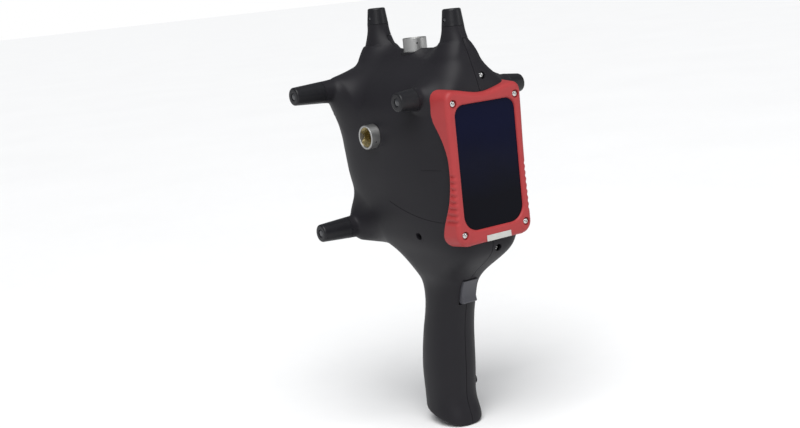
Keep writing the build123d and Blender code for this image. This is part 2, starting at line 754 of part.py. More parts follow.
# ------------------------------------------------------------ optics
motor_low_z = laser_z + mirror_h / 2 + 5.0
with BuildPart() as optical_bench:
    add(block((-bench_half, bench_y, bench_low_z), (bench_half, bench_y + bench_t, bench_high_z)))
    add(block((2, bench_y, bench_high_z - 1), (14, bench_y + bench_t, front_screw_high[1] + 5)))
    add(block((2, bench_y, front_screw_low[1] - 5), (13, bench_y + bench_t, bench_low_z + 1)))
    # clamp for the mirror motor, saddle for the laser
    add(block((-11, laser_y - 6, motor_low_z + 2), (11, bench_y, motor_low_z + 12)))
    add(block((laser_from_x + 5, laser_y + 2, laser_z - 5), (laser_from_x + 19, bench_y, laser_z + 5)))
    add(rod((0, laser_y, motor_low_z - 5), (0, 0, 1), motor_r + 0.02, 40), mode=Mode.SUBTRACT)
    add(rod((0, laser_y, laser_z), (1, 0, 0), laser_r + 0.02, 60), mode=Mode.SUBTRACT)
    add(rod((0, bench_y - 5, camera_z), (0, 1, 0), camera_lens_r + 0.02, 40), mode=Mode.SUBTRACT)
    for way in (-1, 1):
        add(block(
            (min(way * 16, way * 30), bench_y - 1, bench_low_z + 6),
            (max(way * 16, way * 30), bench_y + bench_t + 1, camera_z + 24)), mode=Mode.SUBTRACT)
    for x, z in front_screw_spots:
        add(rod((x, bench_y - 1, z), (0, 1, 0), m3_r + 0.05, bench_t + 2), mode=Mode.SUBTRACT)
optical_bench.part.label = "optical_bench"
export_step(optical_bench.part, "parts/optical_bench.step")

with BuildPart() as laser_module:
    add(rod((laser_from_x, laser_y, laser_z), (1, 0, 0), laser_r, laser_len))
    chamfer(laser_module.edges().filter_by(GeomType.CIRCLE), 0.5)
    add(rod((laser_from_x - 1, laser_y, laser_z), (1, 0, 0), 3.0, 4.0), mode=Mode.SUBTRACT)
laser_module.part.label = "laser_module"
export_step(laser_module.part, "parts/laser_module.step")

with BuildPart() as mirror_motor:
    add(rod((0, laser_y, motor_low_z), (0, 0, 1), motor_r, motor_len))
    chamfer(mirror_motor.edges().filter_by(GeomType.CIRCLE), 0.5)
    add(rod((0, laser_y, motor_low_z - 1), (0, 0, 1), shaft_r + pin_running, 9.0), mode=Mode.SUBTRACT)
mirror_motor.part.label = "mirror_motor"
export_step(mirror_motor.part, "parts/mirror_motor.step")

mirror_plane = Plane(origin=(0, laser_y, laser_z), x_dir=(1, 1, 0), z_dir=(0, 0, 1))
with BuildPart(mirror_plane) as mirror_glass:
    Box(mirror_w, mirror_t, mirror_h)
with BuildPart() as scan_mirror:
    add(mirror_glass.part)
    add(rod((0, laser_y, laser_z + mirror_h / 2 - 1), (0, 0, 1), 2.6, 3.0))
    add(rod((0, laser_y, laser_z + mirror_h / 2), (0, 0, 1), shaft_r, 11.0))
scan_mirror.part.label = "scan_mirror"
export_step(scan_mirror.part, "parts/scan_mirror.step")

camera_back_y = bench_y + bench_t
with BuildPart() as camera_lens:
    add(rod((0, camera_lens_front_y, camera_z), (0, 1, 0), camera_lens_r, camera_back_y - camera_lens_front_y))
    chamfer(camera_lens.edges().filter_by(GeomType.CIRCLE), 0.6)
    add(rod((0, camera_lens_front_y - 1, camera_z), (0, 1, 0), camera_lens_r - 2.5, 4.0), mode=Mode.SUBTRACT)
camera_lens.part.label = "camera_lens"
export_step(camera_lens.part, "parts/camera_lens.step")

half_box = camera_box / 2
with BuildPart() as camera_housing:
    add(block(
        (-half_box, camera_back_y, camera_z - half_box),
        (half_box, camera_back_y + camera_depth, camera_z + half_box)))
    add(block(
        (camera_wall - half_box, camera_back_y + camera_wall, camera_z - half_box + camera_wall),
        (half_box - camera_wall, camera_back_y + camera_depth + 1, camera_z + half_box - camera_wall)),
        mode=Mode.SUBTRACT)
    add(rod((0, camera_back_y - 1, camera_z), (0, 1, 0), 8.0, 5.0), mode=Mode.SUBTRACT)
camera_housing.part.label = "camera_housing"
export_step(camera_housing.part, "parts/camera_housing.step")

with BuildPart() as camera_sensor_board:
    edge = half_box - camera_wall - 0.05
    add(block(
        (-edge, camera_back_y + 12.0, camera_z - edge), (edge, camera_back_y + 13.6, camera_z + edge)))
    add(block((-9, camera_back_y + 10.0, camera_z - 7), (9, camera_back_y + 12.0, camera_z + 7)))
camera_sensor_board.part.label = "camera_sensor_board"
export_step(camera_sensor_board.part, "parts/camera_sensor_board.step")

# ------------------------------------------------------------ boards
cable_end = (cable_x, board_y - 4.0, board_low_z)
with BuildPart() as main_board:
    add(block((-board_half, board_y, board_low_z), (board_half, board_y + board_t, board_high_z)))
    add(block((cable_x - 6, board_y - 8, board_low_z), (cable_x + 6, board_y, board_low_z + 9)))
    add(block((-20, board_y - 3, 245), (-2, board_y, 263)))
    add(block((8, board_y - 2, 240), (20, board_y, 252)))
    add(block((6, board_y - 2.4, 268), (24, board_y, 280)))
    for step in range(5):
        add(rod((-30 + 7 * step, board_y, 292), (0, -1, 0), 2.4, 7.0))
main_board.part.label = "main_board"
export_step(main_board.part, "parts/main_board.step")

with BuildPart() as heat_spreader:
    back = board_y + board_t
    add(block((-spreader_half, back, board_low_z + 4), (spreader_half, back + spreader_t, board_high_z)))
    for step in range(9):
        x = -32 + 8 * step
        add(block((x - 0.8, back + spreader_t - 0.1, board_low_z + 12), (x + 0.8, back + spreader_t + 6, 292)))
heat_spreader.part.label = "heat_spreader"
export_step(heat_spreader.part, "parts/heat_spreader.step")

# ------------------------------------------------------------ grip: bracket, switch, trigger
spring_back_y = switch_front_y + 0.1
with BuildPart() as switch_bracket:
    add(block((-bracket_half, bracket_y, bracket_low_z), (bracket_half, bracket_y + bracket_t, mount_high_z)))
    add(block((-mount_half, switch_back_y, switch_low_z - 3), (mount_half, bracket_y + 0.1, mount_high_z)))
    add(block((-3, spring_back_y, switch_high_z + 0.6), (3, switch_back_y + 0.1, mount_high_z)))
    fillet(switch_bracket.edges().filter_by(Axis.X).sort_by(Axis.Y)[-1:], 0.5)
switch_bracket.part.label = "switch_bracket"
export_step(switch_bracket.part, "parts/switch_bracket.step")

with BuildPart() as trigger_switch:
    add(block((-switch_half, switch_front_y, switch_low_z), (switch_half, switch_back_y, switch_high_z)))
    add(block(
        (-plunger_half_x - pin_running, switch_front_y - 1, plunger_z - plunger_half_z - pin_running),
        (plunger_half_x + pin_running, plunger_tip_y + plunger_len + plunger_travel + 0.5,
         plunger_z + plunger_half_z + pin_running)), mode=Mode.SUBTRACT)
trigger_switch.part.label = "trigger_switch"
export_step(trigger_switch.part, "parts/trigger_switch.step")

with BuildPart() as switch_plunger:
    add(block(
        (-plunger_half_x, plunger_tip_y, plunger_z - plunger_half_z),
        (plunger_half_x, plunger_tip_y + plunger_len, plunger_z + plunger_half_z)))
    fillet(switch_plunger.faces().sort_by(Axis.Y)[0].edges().filter_by(Axis.X), 0.7)
switch_plunger.part.label = "switch_plunger"
export_step(switch_plunger.part, "parts/switch_plunger.step")

with BuildPart() as trigger:
    with BuildSketch(Plane.YZ.offset(-trigger_half)):
        with BuildLine():
            Spline((-48.9, trigger_high_z), (-45.6, 130.0), (-43.6, 123.0), (-43.8, trigger_low_z + 0.6))
            Polyline((-43.8, trigger_low_z + 0.6), (-43.0, trigger_low_z), (-38.2, trigger_low_z),
                     (-36.6, 119.0), (-35.6, 122.0), (-35.6, 127.0), (-34.2, 130.0), (-34.2, 134.6),
                     (-36.4, trigger_high_z), (-48.9, trigger_high_z))
        make_face()
    extrude(amount=2 * trigger_half)
    chamfer(trigger.faces().sort_by(Axis.X)[0].edges().group_by(Axis.Y)[0], 0.8)
    chamfer(trigger.faces().sort_by(Axis.X)[-1].edges().group_by(Axis.Y)[0], 0.8)
    add(block((-2.2, -38.5, plunger_z - 1.2), (2.2, plunger_tip_y - 0.35, plunger_z + 1.6)))
    pin_start = (-trigger_half - 1, trigger_pin_y, trigger_pin_z)
    add(rod(pin_start, (1, 0, 0), trigger_pin_r + pin_running, 2 * trigger_half + 2), mode=Mode.SUBTRACT)
trigger.part.label = "trigger"
export_step(trigger.part, "parts/trigger.step")

with BuildPart() as trigger_pin:
    add(rod((-trigger_pin_half + 0.1, trigger_pin_y, trigger_pin_z), (1, 0, 0), trigger_pin_r,
            2 * trigger_pin_half - 0.2))
    chamfer(trigger_pin.edges().filter_by(GeomType.CIRCLE), 0.2)
trigger_pin.part.label = "trigger_pin"
export_step(trigger_pin.part, "parts/trigger_pin.step")

spring_len = spring_back_y - spring_front_y - 2 * spring_wire_r - 0.1
with BuildLine() as spring_line:
    Helix(spring_len / spring_turns, spring_len, spring_r,
          center=(0, spring_front_y + spring_wire_r + 0.05, spring_z), direction=(0, 1, 0))
with BuildPart() as trigger_spring:
    with BuildSketch(Plane(origin=spring_line.line @ 0, z_dir=spring_line.line % 0)):
        Circle(spring_wire_r)
    sweep(path=spring_line.line, is_frenet=True)
trigger_spring.part.label = "trigger_spring"
export_step(trigger_spring.part, "parts/trigger_spring.step")

# ------------------------------------------------------------ cable socket and the cable inside the grip
socket_up = tuple(foot_up)
with BuildPart() as cable_socket:
    add(rod((0, 0, 0), socket_up, socket_r, socket_depth + insert_t))
    chamfer(cable_socket.edges().filter_by(GeomType.CIRCLE), 0.3)
    add(rod(along((0, 0, 0), socket_up, -1), socket_up, socket_bore_r, plug_room + 1), mode=Mode.SUBTRACT)
    add(rod((0, 0, 0), socket_up, socket_step_r, socket_depth + insert_t + 2), mode=Mode.SUBTRACT)
cable_socket.part.label = "cable_socket"
export_step(cable_socket.part, "parts/cable_socket.step")

with BuildPart() as socket_insert:
    add(rod(along((0, 0, 0), socket_up, socket_depth), socket_up, socket_step_r - 0.05, insert_t))
    pin_plane = foot_plane.offset(socket_depth - insert_pin_len)
    with BuildSketch(pin_plane):
        with PolarLocations(insert_ring_r, insert_pin_count):
            Circle(insert_pin_r)
    extrude(amount=insert_pin_len + 0.5)
socket_insert.part.label = "socket_insert"
export_step(socket_insert.part, "parts/socket_insert.step")

with BuildPart() as grip_cable:
    cable_start = along((0, 0, 0), socket_up, socket_depth + insert_t + 0.05)
    with BuildLine() as route:
        FilletPolyline(
            cable_start, along(cable_start, socket_up, 12.0), (cable_x, cable_y, 50.0),
            (cable_x, cable_y, 118.0), (cable_x, cable_end[1], 150.0), cable_end,
            radius=[15.0, 48.0, 120.0, 120.0])
    with BuildSketch(Plane(origin=route.line @ 0, z_dir=route.line % 0)):
        Circle(cable_r)
    sweep()
grip_cable.part.label = "grip_cable"
export_step(grip_cable.part, "parts/grip_cable.step")
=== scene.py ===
"""Looks of a hand-held laser scanner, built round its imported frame.

The housing halves, bumper, marker caps, reflector rings, screws, lenses, trigger and label are
modelled here; the optics, boards and fittings inside keep their own solids and get their finish.
Lengths in the classes are millimetres unless a name says otherwise.
"""

import json
import logging
import math
from dataclasses import dataclass, field, replace
from enum import Enum
from typing import Dict, List, Sequence, Tuple

import bpy
import numpy as np
from mathutils import Matrix, Vector


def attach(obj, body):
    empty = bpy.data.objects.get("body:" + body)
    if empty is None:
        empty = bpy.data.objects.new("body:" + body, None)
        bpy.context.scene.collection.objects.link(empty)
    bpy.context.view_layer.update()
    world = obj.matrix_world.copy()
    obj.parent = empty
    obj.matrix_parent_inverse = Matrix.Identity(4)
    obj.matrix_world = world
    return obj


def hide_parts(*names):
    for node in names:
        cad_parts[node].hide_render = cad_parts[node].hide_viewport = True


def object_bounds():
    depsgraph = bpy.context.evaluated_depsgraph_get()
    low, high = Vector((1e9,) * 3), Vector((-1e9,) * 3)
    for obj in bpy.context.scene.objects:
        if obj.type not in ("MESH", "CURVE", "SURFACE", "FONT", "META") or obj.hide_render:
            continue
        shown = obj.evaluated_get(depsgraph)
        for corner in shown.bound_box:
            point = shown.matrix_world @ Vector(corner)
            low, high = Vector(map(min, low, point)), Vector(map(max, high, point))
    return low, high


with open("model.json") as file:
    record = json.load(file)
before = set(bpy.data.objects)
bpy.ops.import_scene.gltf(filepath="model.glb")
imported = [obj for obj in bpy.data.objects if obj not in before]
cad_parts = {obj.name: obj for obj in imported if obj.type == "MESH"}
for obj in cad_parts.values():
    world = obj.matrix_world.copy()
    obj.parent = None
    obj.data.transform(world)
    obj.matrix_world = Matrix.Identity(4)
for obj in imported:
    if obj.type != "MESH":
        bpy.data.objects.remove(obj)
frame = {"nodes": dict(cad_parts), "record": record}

logging.basicConfig(level=logging.INFO, format="%(message)s")
log = logging.getLogger("scanner")

MM = 0.001
Point = Tuple[float, float, float]
ORIGIN: Point = (0.0, 0.0, 0.0)
UP: Point = (0.0, 0.0, 1.0)
FORWARD: Point = (0.0, -1.0, 0.0)
RIGHT: Point = (1.0, 0.0, 0.0)
HOUSING = "housing"
CAD_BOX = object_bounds()


# ------------------------------------------------------------------ finishes
class Pattern(Enum):
    """How a finish's fine detail runs over the surface."""

    GRAIN = "grain"
    BRUSHED_X = "brushed along X"
    BRUSHED_Z = "brushed along Z"
    BOARD = "printed board"
    # Dark tint with a painted reflection: lighter and bluer towards the top.
    WINDOW = "tinted window"


@dataclass(frozen=True)
class Finish:
    """One surface finish, made as a node material.

    Colours are linear. grain_mm is the size of the fine bump, wear_mm that of the slow variation.
    """

    name: str
    colour: Tuple[float, float, float]
    rough: Tuple[float, float] = (0.45, 0.6)
    spread: float = 0.12
    grain_mm: float = 0.5
    depth_mm: float = 0.01
    wear_mm: float = 30.0
    metallic: float = 0.0
    coat: float = 0.0
    sheen: float = 0.0
    specular: float = 0.5
    transmission: float = 0.0
    alpha: float = 1.0
    pattern: Pattern = Pattern.GRAIN

    def material(self) -> bpy.types.Material:
        """The node material of this finish, made once.

        Returns:
            The Blender material, shared by all pieces with this finish.
        """
        made = bpy.data.materials.get("finish_" + self.name)
        if made:
            return made
        made = bpy.data.materials.new("finish_" + self.name)
        made.use_nodes = True
        tree = made.node_tree
        shader = tree.nodes["Principled BSDF"]
        shader.inputs["Metallic"].default_value = self.metallic
        shader.inputs["Coat Weight"].default_value = self.coat
        shader.inputs["Coat Roughness"].default_value = 0.12
        shader.inputs["Sheen Weight"].default_value = self.sheen
        shader.inputs["Sheen Roughness"].default_value = 0.45
        shader.inputs["Specular IOR Level"].default_value = self.specular
        shader.inputs["Transmission Weight"].default_value = self.transmission
        shader.inputs["Alpha"].default_value = self.alpha
        spot = tree.nodes.new("ShaderNodeTexCoord").outputs["Object"]
        stretch = {Pattern.BRUSHED_X: (0.03, 1.0, 1.0), Pattern.BRUSHED_Z: (1.0, 1.0, 0.03)}
        fine_spot = self._mapped(tree, spot, stretch.get(self.pattern, (1.0, 1.0, 1.0)))
        fine = self._noise(tree, fine_spot, self.grain_mm, 4.0)
        slow = self._noise(tree, spot, self.wear_mm, 3.0)
        self._colour(tree, shader, spot, slow, fine)
        self._roughness(tree, shader, slow, fine)
        self._bump(tree, shader, fine)
        return made

    @staticmethod
    def _mapped(tree: bpy.types.NodeTree, spot: bpy.types.NodeSocket, scale: Point) -> bpy.types.NodeSocket:
        """Coordinates scaled on each axis."""
        node = tree.nodes.new("ShaderNodeMapping")
        node.inputs["Scale"].default_value = scale
        tree.links.new(spot, node.inputs["Vector"])
        return node.outputs["Vector"]

    @staticmethod
    def _noise(tree: bpy.types.NodeTree, spot: bpy.types.NodeSocket, size_mm: float,
               detail: float) -> bpy.types.NodeSocket:
        """Noise with features of about a given size."""
        node = tree.nodes.new("ShaderNodeTexNoise")
        node.inputs["Scale"].default_value = 1000.0 / size_mm
        node.inputs["Detail"].default_value = detail
        node.inputs["Roughness"].default_value = 0.55
        tree.links.new(spot, node.inputs["Vector"])
        return node.outputs["Fac"]

    @staticmethod
    def _math(tree: bpy.types.NodeTree, kind: str, first: object,
              second: object = 0.0) -> bpy.types.NodeSocket:
        """A maths node whose inputs are sockets or plain numbers."""
        node = tree.nodes.new("ShaderNodeMath")
        node.operation = kind
        for index, value in enumerate((first, second)):
            if isinstance(value, (int, float)):
                node.inputs[index].default_value = value
            else:
                tree.links.new(value, node.inputs[index])
        return node.outputs[0]

    def _colour(self, tree: bpy.types.NodeTree, shader: bpy.types.Node, spot: bpy.types.NodeSocket,
                slow: bpy.types.NodeSocket, fine: bpy.types.NodeSocket) -> None:
        """Base colour from the slow and fine noise, or the pattern's own colours; on the window these are a
        painted reflection, lighter and bluer towards the top.
        """
        ramp = tree.nodes.new("ShaderNodeValToRGB")
        dark = [max(0.0, part * (1.0 - self.spread)) for part in self.colour]
        light = [min(1.0, part * (1.0 + self.spread)) for part in self.colour]
        ramp.color_ramp.elements[0].position = 0.3
        ramp.color_ramp.elements[0].color = (*dark, 1.0)
        ramp.color_ramp.elements[1].position = 0.7
        ramp.color_ramp.elements[1].color = (*light, 1.0)
        blend = self._math(tree, "ADD", self._math(tree, "MULTIPLY", slow, 0.6),
                           self._math(tree, "MULTIPLY", fine, 0.4))
        if self.pattern is Pattern.BOARD:
            cells = tree.nodes.new("ShaderNodeTexBrick")
            cells.inputs["Scale"].default_value = 260.0
            cells.inputs["Color1"].default_value = (*dark, 1.0)
            cells.inputs["Color2"].default_value = (*light, 1.0)
            cells.inputs["Mortar"].default_value = (0.5, 0.33, 0.09, 1.0)
            cells.inputs["Mortar Size"].default_value = 0.012
            tree.links.new(spot, cells.inputs["Vector"])
            tree.links.new(cells.outputs["Color"], shader.inputs["Base Color"])
            return
        # Painted reflection on the window: the colour rises with height from a dark tint to a lighter blue,
        # in place of the bright surroundings mirrored in the glass.
        if self.pattern is Pattern.WINDOW:
            height = tree.nodes.new("ShaderNodeSeparateXYZ")
            tree.links.new(spot, height.inputs[0])
            rise = tree.nodes.new("ShaderNodeMapRange")
            rise.inputs["From Min"].default_value = 0.19
            rise.inputs["From Max"].default_value = 0.31
            tree.links.new(height.outputs["Z"], rise.inputs["Value"])
            blend = self._math(tree, "ADD", self._math(tree, "MULTIPLY", rise.outputs[0], 0.75),
                               self._math(tree, "MULTIPLY", slow, 0.25))
            # Painted reflection colours: dark tint at the bottom, lighter blue at the top.
            ramp.color_ramp.elements[0].color = (0.0022, 0.0024, 0.005, 1.0)
            ramp.color_ramp.elements[1].color = (0.003, 0.004, 0.018, 1.0)
        tree.links.new(blend, ramp.inputs["Fac"])
        tree.links.new(ramp.outputs["Color"], shader.inputs["Base Color"])

    def _roughness(self, tree: bpy.types.NodeTree, shader: bpy.types.Node,
                   slow: bpy.types.NodeSocket, fine: bpy.types.NodeSocket) -> None:
        """Roughness between the finish's two limits."""
        spread = tree.nodes.new("ShaderNodeMapRange")
        spread.inputs["From Min"].default_value = 0.3
        spread.inputs["From Max"].default_value = 0.7
        spread.inputs["To Min"].default_value = self.rough[0]
        spread.inputs["To Max"].default_value = self.rough[1]
        blend = self._math(tree, "ADD", self._math(tree, "MULTIPLY", slow, 0.5),
                           self._math(tree, "MULTIPLY", fine, 0.5))
        tree.links.new(blend, spread.inputs["Value"])
        tree.links.new(spread.outputs[0], shader.inputs["Roughness"])

    def _bump(self, tree: bpy.types.NodeTree, shader: bpy.types.Node, fine: bpy.types.NodeSocket) -> None:
        """Fine relief in true depth."""
        bump = tree.nodes.new("ShaderNodeBump")
        bump.inputs["Strength"].default_value = 1.0
        bump.inputs["Distance"].default_value = MM
        relief = self._math(tree, "MULTIPLY", fine, self.depth_mm)
        tree.links.new(relief, bump.inputs["Height"])
        tree.links.new(bump.outputs["Normal"], shader.inputs["Normal"])


SOFT_TOUCH = Finish("soft_touch_black", (0.0125, 0.0118, 0.0145), (0.46, 0.56), 0.10, 0.35, 0.010, 40.0,
                    specular=0.18)
CAP_BLACK = Finish("cap_black", (0.010, 0.010, 0.012), (0.34, 0.44), 0.12, 0.5, 0.006, 12.0, specular=0.26)
BUMPER_RED = Finish("bumper_red", (0.34, 0.034, 0.036), (0.44, 0.56), 0.07, 0.6, 0.012, 18.0, specular=0.3)
# Window finish: dark tint plus a painted reflection that lightens towards the top; its own specular is kept
# very low.
WINDOW_TINT_AND_PAINTED_REFLECTION = Finish("window_tint_painted_reflection", (0.003, 0.004, 0.012), (0.04, 0.07), 0.2, 8.0, 0.0003, 40.0,
                     specular=0.06, pattern=Pattern.WINDOW)
TRIGGER_GREY = Finish("trigger_grey", (0.055, 0.055, 0.065), (0.36, 0.46), 0.08, 0.4, 0.01, 8.0, specular=0.4)
BRIGHT_STEEL = Finish("bright_steel", (0.60, 0.60, 0.59), (0.16, 0.28), 0.08, 0.3, 0.004, 4.0, metallic=1.0)
DARK_STEEL = Finish("dark_steel", (0.05, 0.05, 0.055), (0.28, 0.4), 0.15, 0.3, 0.004, 3.0, metallic=1.0)
TURNED_ALUMINIUM = Finish("turned_aluminium", (0.40, 0.40, 0.395), (0.40, 0.52), 0.06, 0.25, 0.006, 6.0,
                          metallic=1.0)
GOLD_MIRROR = Finish("gold_mirror", (0.36, 0.29, 0.14), (0.16, 0.26), 0.10, 1.5, 0.002, 5.0, metallic=1.0)
CLEAR_LENS = Finish("marker_lens", (0.035, 0.036, 0.04), (0.14, 0.24), 0.1, 0.6, 0.004, 3.0)
LABEL_PLATE = Finish("label_plate", (0.50, 0.50, 0.47), (0.34, 0.46), 0.06, 0.3, 0.004, 8.0, metallic=0.3,
                     pattern=Pattern.BRUSHED_X)
GASKET_BLACK = Finish("gasket_black", (0.012, 0.012, 0.012), (0.6, 0.75), 0.2, 0.6, 0.02, 6.0)
BLACK_ANODISED = Finish("black_anodised", (0.03, 0.03, 0.034), (0.32, 0.45), 0.12, 0.4, 0.006, 10.0,
                        metallic=0.8)
SATIN_BRASS = Finish("satin_brass", (0.68, 0.47, 0.2), (0.24, 0.36), 0.1, 0.3, 0.005, 6.0, metallic=1.0)
MOTOR_CAN = Finish("motor_can", (0.45, 0.45, 0.47), (0.24, 0.36), 0.1, 0.3, 0.005, 6.0, metallic=1.0,
                   pattern=Pattern.BRUSHED_Z)
SILVER_MIRROR = Finish("silver_mirror", (0.9, 0.9, 0.92), (0.03, 0.06), 0.03, 2.0, 0.0005, 6.0, metallic=1.0)
BOARD_GREEN = Finish("board_green", (0.02, 0.10, 0.045), (0.35, 0.5), 0.2, 0.8, 0.01, 10.0,
                     pattern=Pattern.BOARD)
MILLED_ALUMINIUM = Finish("milled_aluminium", (0.55, 0.55, 0.56), (0.3, 0.42), 0.08, 0.4, 0.008, 10.0,
                          metallic=1.0, pattern=Pattern.BRUSHED_X)
SWITCH_BLACK = Finish("switch_black", (0.03, 0.03, 0.03), (0.4, 0.55), 0.15, 0.4, 0.01, 6.0)
PLUNGER_RED = Finish("plunger_red", (0.45, 0.05, 0.03), (0.35, 0.45), 0.1, 0.4, 0.008, 3.0)
CABLE_BLACK = Finish("cable_black", (0.015, 0.015, 0.016), (0.5, 0.62), 0.15, 0.4, 0.012, 8.0)
FLOOR_WHITE = Finish("floor_white", (0.9, 0.9, 0.9), (0.7, 0.85), 0.01, 20.0, 0.02, 400.0)

SLOT_FINISH: Dict[str, Finish] = {
    "housing": SOFT_TOUCH, "bumper": BUMPER_RED, "cap": CAP_BLACK, "window": WINDOW_TINT_AND_PAINTED_REFLECTION,
    "gasket": GASKET_BLACK, "label": LABEL_PLATE, "steel": BRIGHT_STEEL, "dark_steel": DARK_STEEL,
    "anodised": BLACK_ANODISED, "brass_barrel": SATIN_BRASS, "motor_can": MOTOR_CAN,
    "mirror": SILVER_MIRROR, "lens_barrel": BLACK_ANODISED, "board": BOARD_GREEN,
    "spreader": MILLED_ALUMINIUM, "bracket": MILLED_ALUMINIUM, "switch_body": SWITCH_BLACK,
    "plunger": PLUNGER_RED, "trigger": TRIGGER_GREY, "spring_steel": BRIGHT_STEEL,
    "socket": MOTOR_CAN, "insert": SWITCH_BLACK, "cable": CABLE_BLACK, "marker_lens": CLEAR_LENS,
    "reflector_ring": TURNED_ALUMINIUM, "corner_mirror": GOLD_MIRROR,
}


# ------------------------------------------------------------------ modelling helpers
def clear_selection() -> None:
    """Nothing selected and no active piece."""
    bpy.ops.object.select_all(action="DESELECT")
    bpy.context.view_layer.objects.active = None


def pick(piece: bpy.types.Object) -> None:
    """Only this piece selected and active."""
    clear_selection()
    piece.select_set(True)
    bpy.context.view_layer.objects.active = piece


def from_points(name: str, points: Sequence[Point], faces: Sequence[Sequence[int]],
                edges: Sequence[Tuple[int, int]] = ()) -> bpy.types.Object:
    """A piece from points in millimetres.

    Args:
        name: Piece name.
        points: Corners, in millimetres.
        faces: Corner numbers of each face.
        edges: Corner numbers of loose edges.

    Returns:
        The new object, linked to the scene and at the origin.
    """
    mesh = bpy.data.meshes.new(name)
    mesh.from_pydata([tuple(value * MM for value in spot) for spot in points], list(edges), list(faces))
    mesh.update()
    piece = bpy.data.objects.new(name, mesh)
    bpy.context.scene.collection.objects.link(piece)
    return piece


def tidy_normals(piece: bpy.types.Object, merge_mm: float = 0.01) -> None:
    """Merges doubles and points the faces outwards."""
    pick(piece)
    bpy.ops.object.mode_set(mode="EDIT")
    bpy.ops.mesh.select_all(action="SELECT")
    bpy.ops.mesh.remove_doubles(threshold=merge_mm * MM)
    bpy.ops.mesh.normals_make_consistent(inside=False)
    bpy.ops.object.mode_set(mode="OBJECT")


def smooth(piece: bpy.types.Object, degrees: float = 35.0) -> None:
    """Smooth shading below an angle."""
    pick(piece)
    bpy.ops.object.shade_smooth_by_angle(angle=math.radians(degrees))


def axis_matrix(place: Point, out: Point) -> Matrix:
    """Matrix that carries +Z at the origin to a place and way out, in millimetres for the place."""
    way = Vector(out).normalized()
    side = Vector((0.0, 1.0, 0.0)) if abs(way.y) < 0.5 else Vector((1.0, 0.0, 0.0))
    up = way.cross(side)
    turn = Matrix((side, up, way)).transposed().to_4x4()
    return Matrix.Translation(Vector(place) * MM) @ turn


def turned(name: str, profile: Sequence[Tuple[float, float]], place: Point, out: Point,
           steps: int = 64) -> bpy.types.Object:
    """A closed piece turned on the lathe.

    Args:
        name: Piece name.
        profile: Radius and height of each corner, from the axis round to the axis.
        place: Foot of the axis.
        out: Way the axis runs.
        steps: Faces round the piece.

    Returns:
        The turned piece, with its place in its mesh.
    """
    points = [(radius, 0.0, height) for radius, height in profile]
    piece = from_points(name, points, [], [(i, i + 1) for i in range(len(points) - 1)])
    pick(piece)
    bpy.ops.object.mode_set(mode="EDIT")
    bpy.ops.mesh.select_all(action="SELECT")
    bpy.ops.mesh.spin(steps=steps, angle=2.0 * math.pi, center=(0, 0, 0), axis=(0, 0, 1))
    bpy.ops.object.mode_set(mode="OBJECT")
    tidy_normals(piece)
    piece.data.transform(axis_matrix(place, out))
    if axis_matrix(place, out).determinant() < 0:
        tidy_normals(piece)
    return piece


def rod_cutter(place: Point, out: Point, radius: float, length: float,
               steps: int = 48) -> bpy.types.Object:
    """A round cutting tool from a place along out."""
    profile = [(0.0, 0.0), (radius, 0.0), (radius, length), (0.0, length)]
    return turned("cutter", profile, place, out, steps)


def box_cutter(low: Point, high: Point, rounding: float = 0.0, steps: int = 4) -> bpy.types.Object:
    """A box-shaped cutting tool with optional rounded edges."""
    clear_selection()
    bpy.ops.mesh.primitive_cube_add(size=1.0)
    tool = bpy.context.active_object
    size = [(b - a) * MM for a, b in zip(low, high)]
    middle = [(b + a) * 0.5 * MM for a, b in zip(low, high)]
    tool.data.transform(Matrix.Translation(middle) @ Matrix.Diagonal((*size, 1.0)))
    if rounding > 0.0:
        finish_with(tool, "BEVEL", width=rounding * MM, segments=steps, limit_method="NONE")
    return tool


def finish_with(piece: bpy.types.Object, kind: str, **settings: object) -> None:
    """Adds a modifier with these settings and applies it."""
    pick(piece)
    modifier = piece.modifiers.new("step", kind)
    for key, value in settings.items():
        setattr(modifier, key, value)
    bpy.ops.object.modifier_apply(modifier=modifier.name)


def joined(pieces: Sequence[bpy.types.Object], name: str) -> bpy.types.Object:
    """Several pieces as one object."""
    clear_selection()
    for piece in pieces:
        piece.select_set(True)
    bpy.context.view_layer.objects.active = pieces[0]
    if len(pieces) > 1:
        bpy.ops.object.join()
    whole = bpy.context.active_object
    whole.name = name
    whole.data.name = name
    return whole


def cut(piece: bpy.types.Object, tools: Sequence[bpy.types.Object], kind: str = "DIFFERENCE") -> None:
    """Cuts a piece with tools, one after the other, and removes the tools."""
    for tool in tools:
        before = len(piece.data.polygons)
        spare = piece.data.copy()
        finish_with(piece, "BOOLEAN", object=tool, operation=kind, solver="MANIFOLD")
        if len(piece.data.polygons) in (0, before):
            piece.data = spare
            finish_with(piece, "BOOLEAN", object=tool, operation=kind, solver="EXACT", use_self=True)
            log.info("slow cut on %s", piece.name)
        if len(piece.data.polygons) == 0:
            raise RuntimeError("a cut removed all of " + piece.name)
        log.info("cut %s: %d to %d faces", piece.name, before, len(piece.data.polygons))
        bpy.data.objects.remove(tool, do_unlink=True)


def place_on(piece: bpy.types.Object, body: str, slot: str, nodes: Sequence[str] = ()) -> None:
    """Gives a finished piece its finish, its body and the nodes that it stands for."""
    piece.data.materials.clear()
    piece.data.materials.append(SLOT_FINISH[slot].material())
    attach(piece, body)
    if nodes:
        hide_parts(*nodes)
    log.info("%s: %d faces on %s", piece.name, len(piece.data.polygons), body)


# ------------------------------------------------------------------ housing
@dataclass(frozen=True)
class Level:
    """One level cross-section of the housing's outer form.

    full is where the section is widest, square and back its corner powers ahead of and behind that,
    and narrow how much it closes in towards the front.
    """

    z: float
    front: float
    rear: float
    half: float
    full: float
    square: float
    back: float
    narrow: float


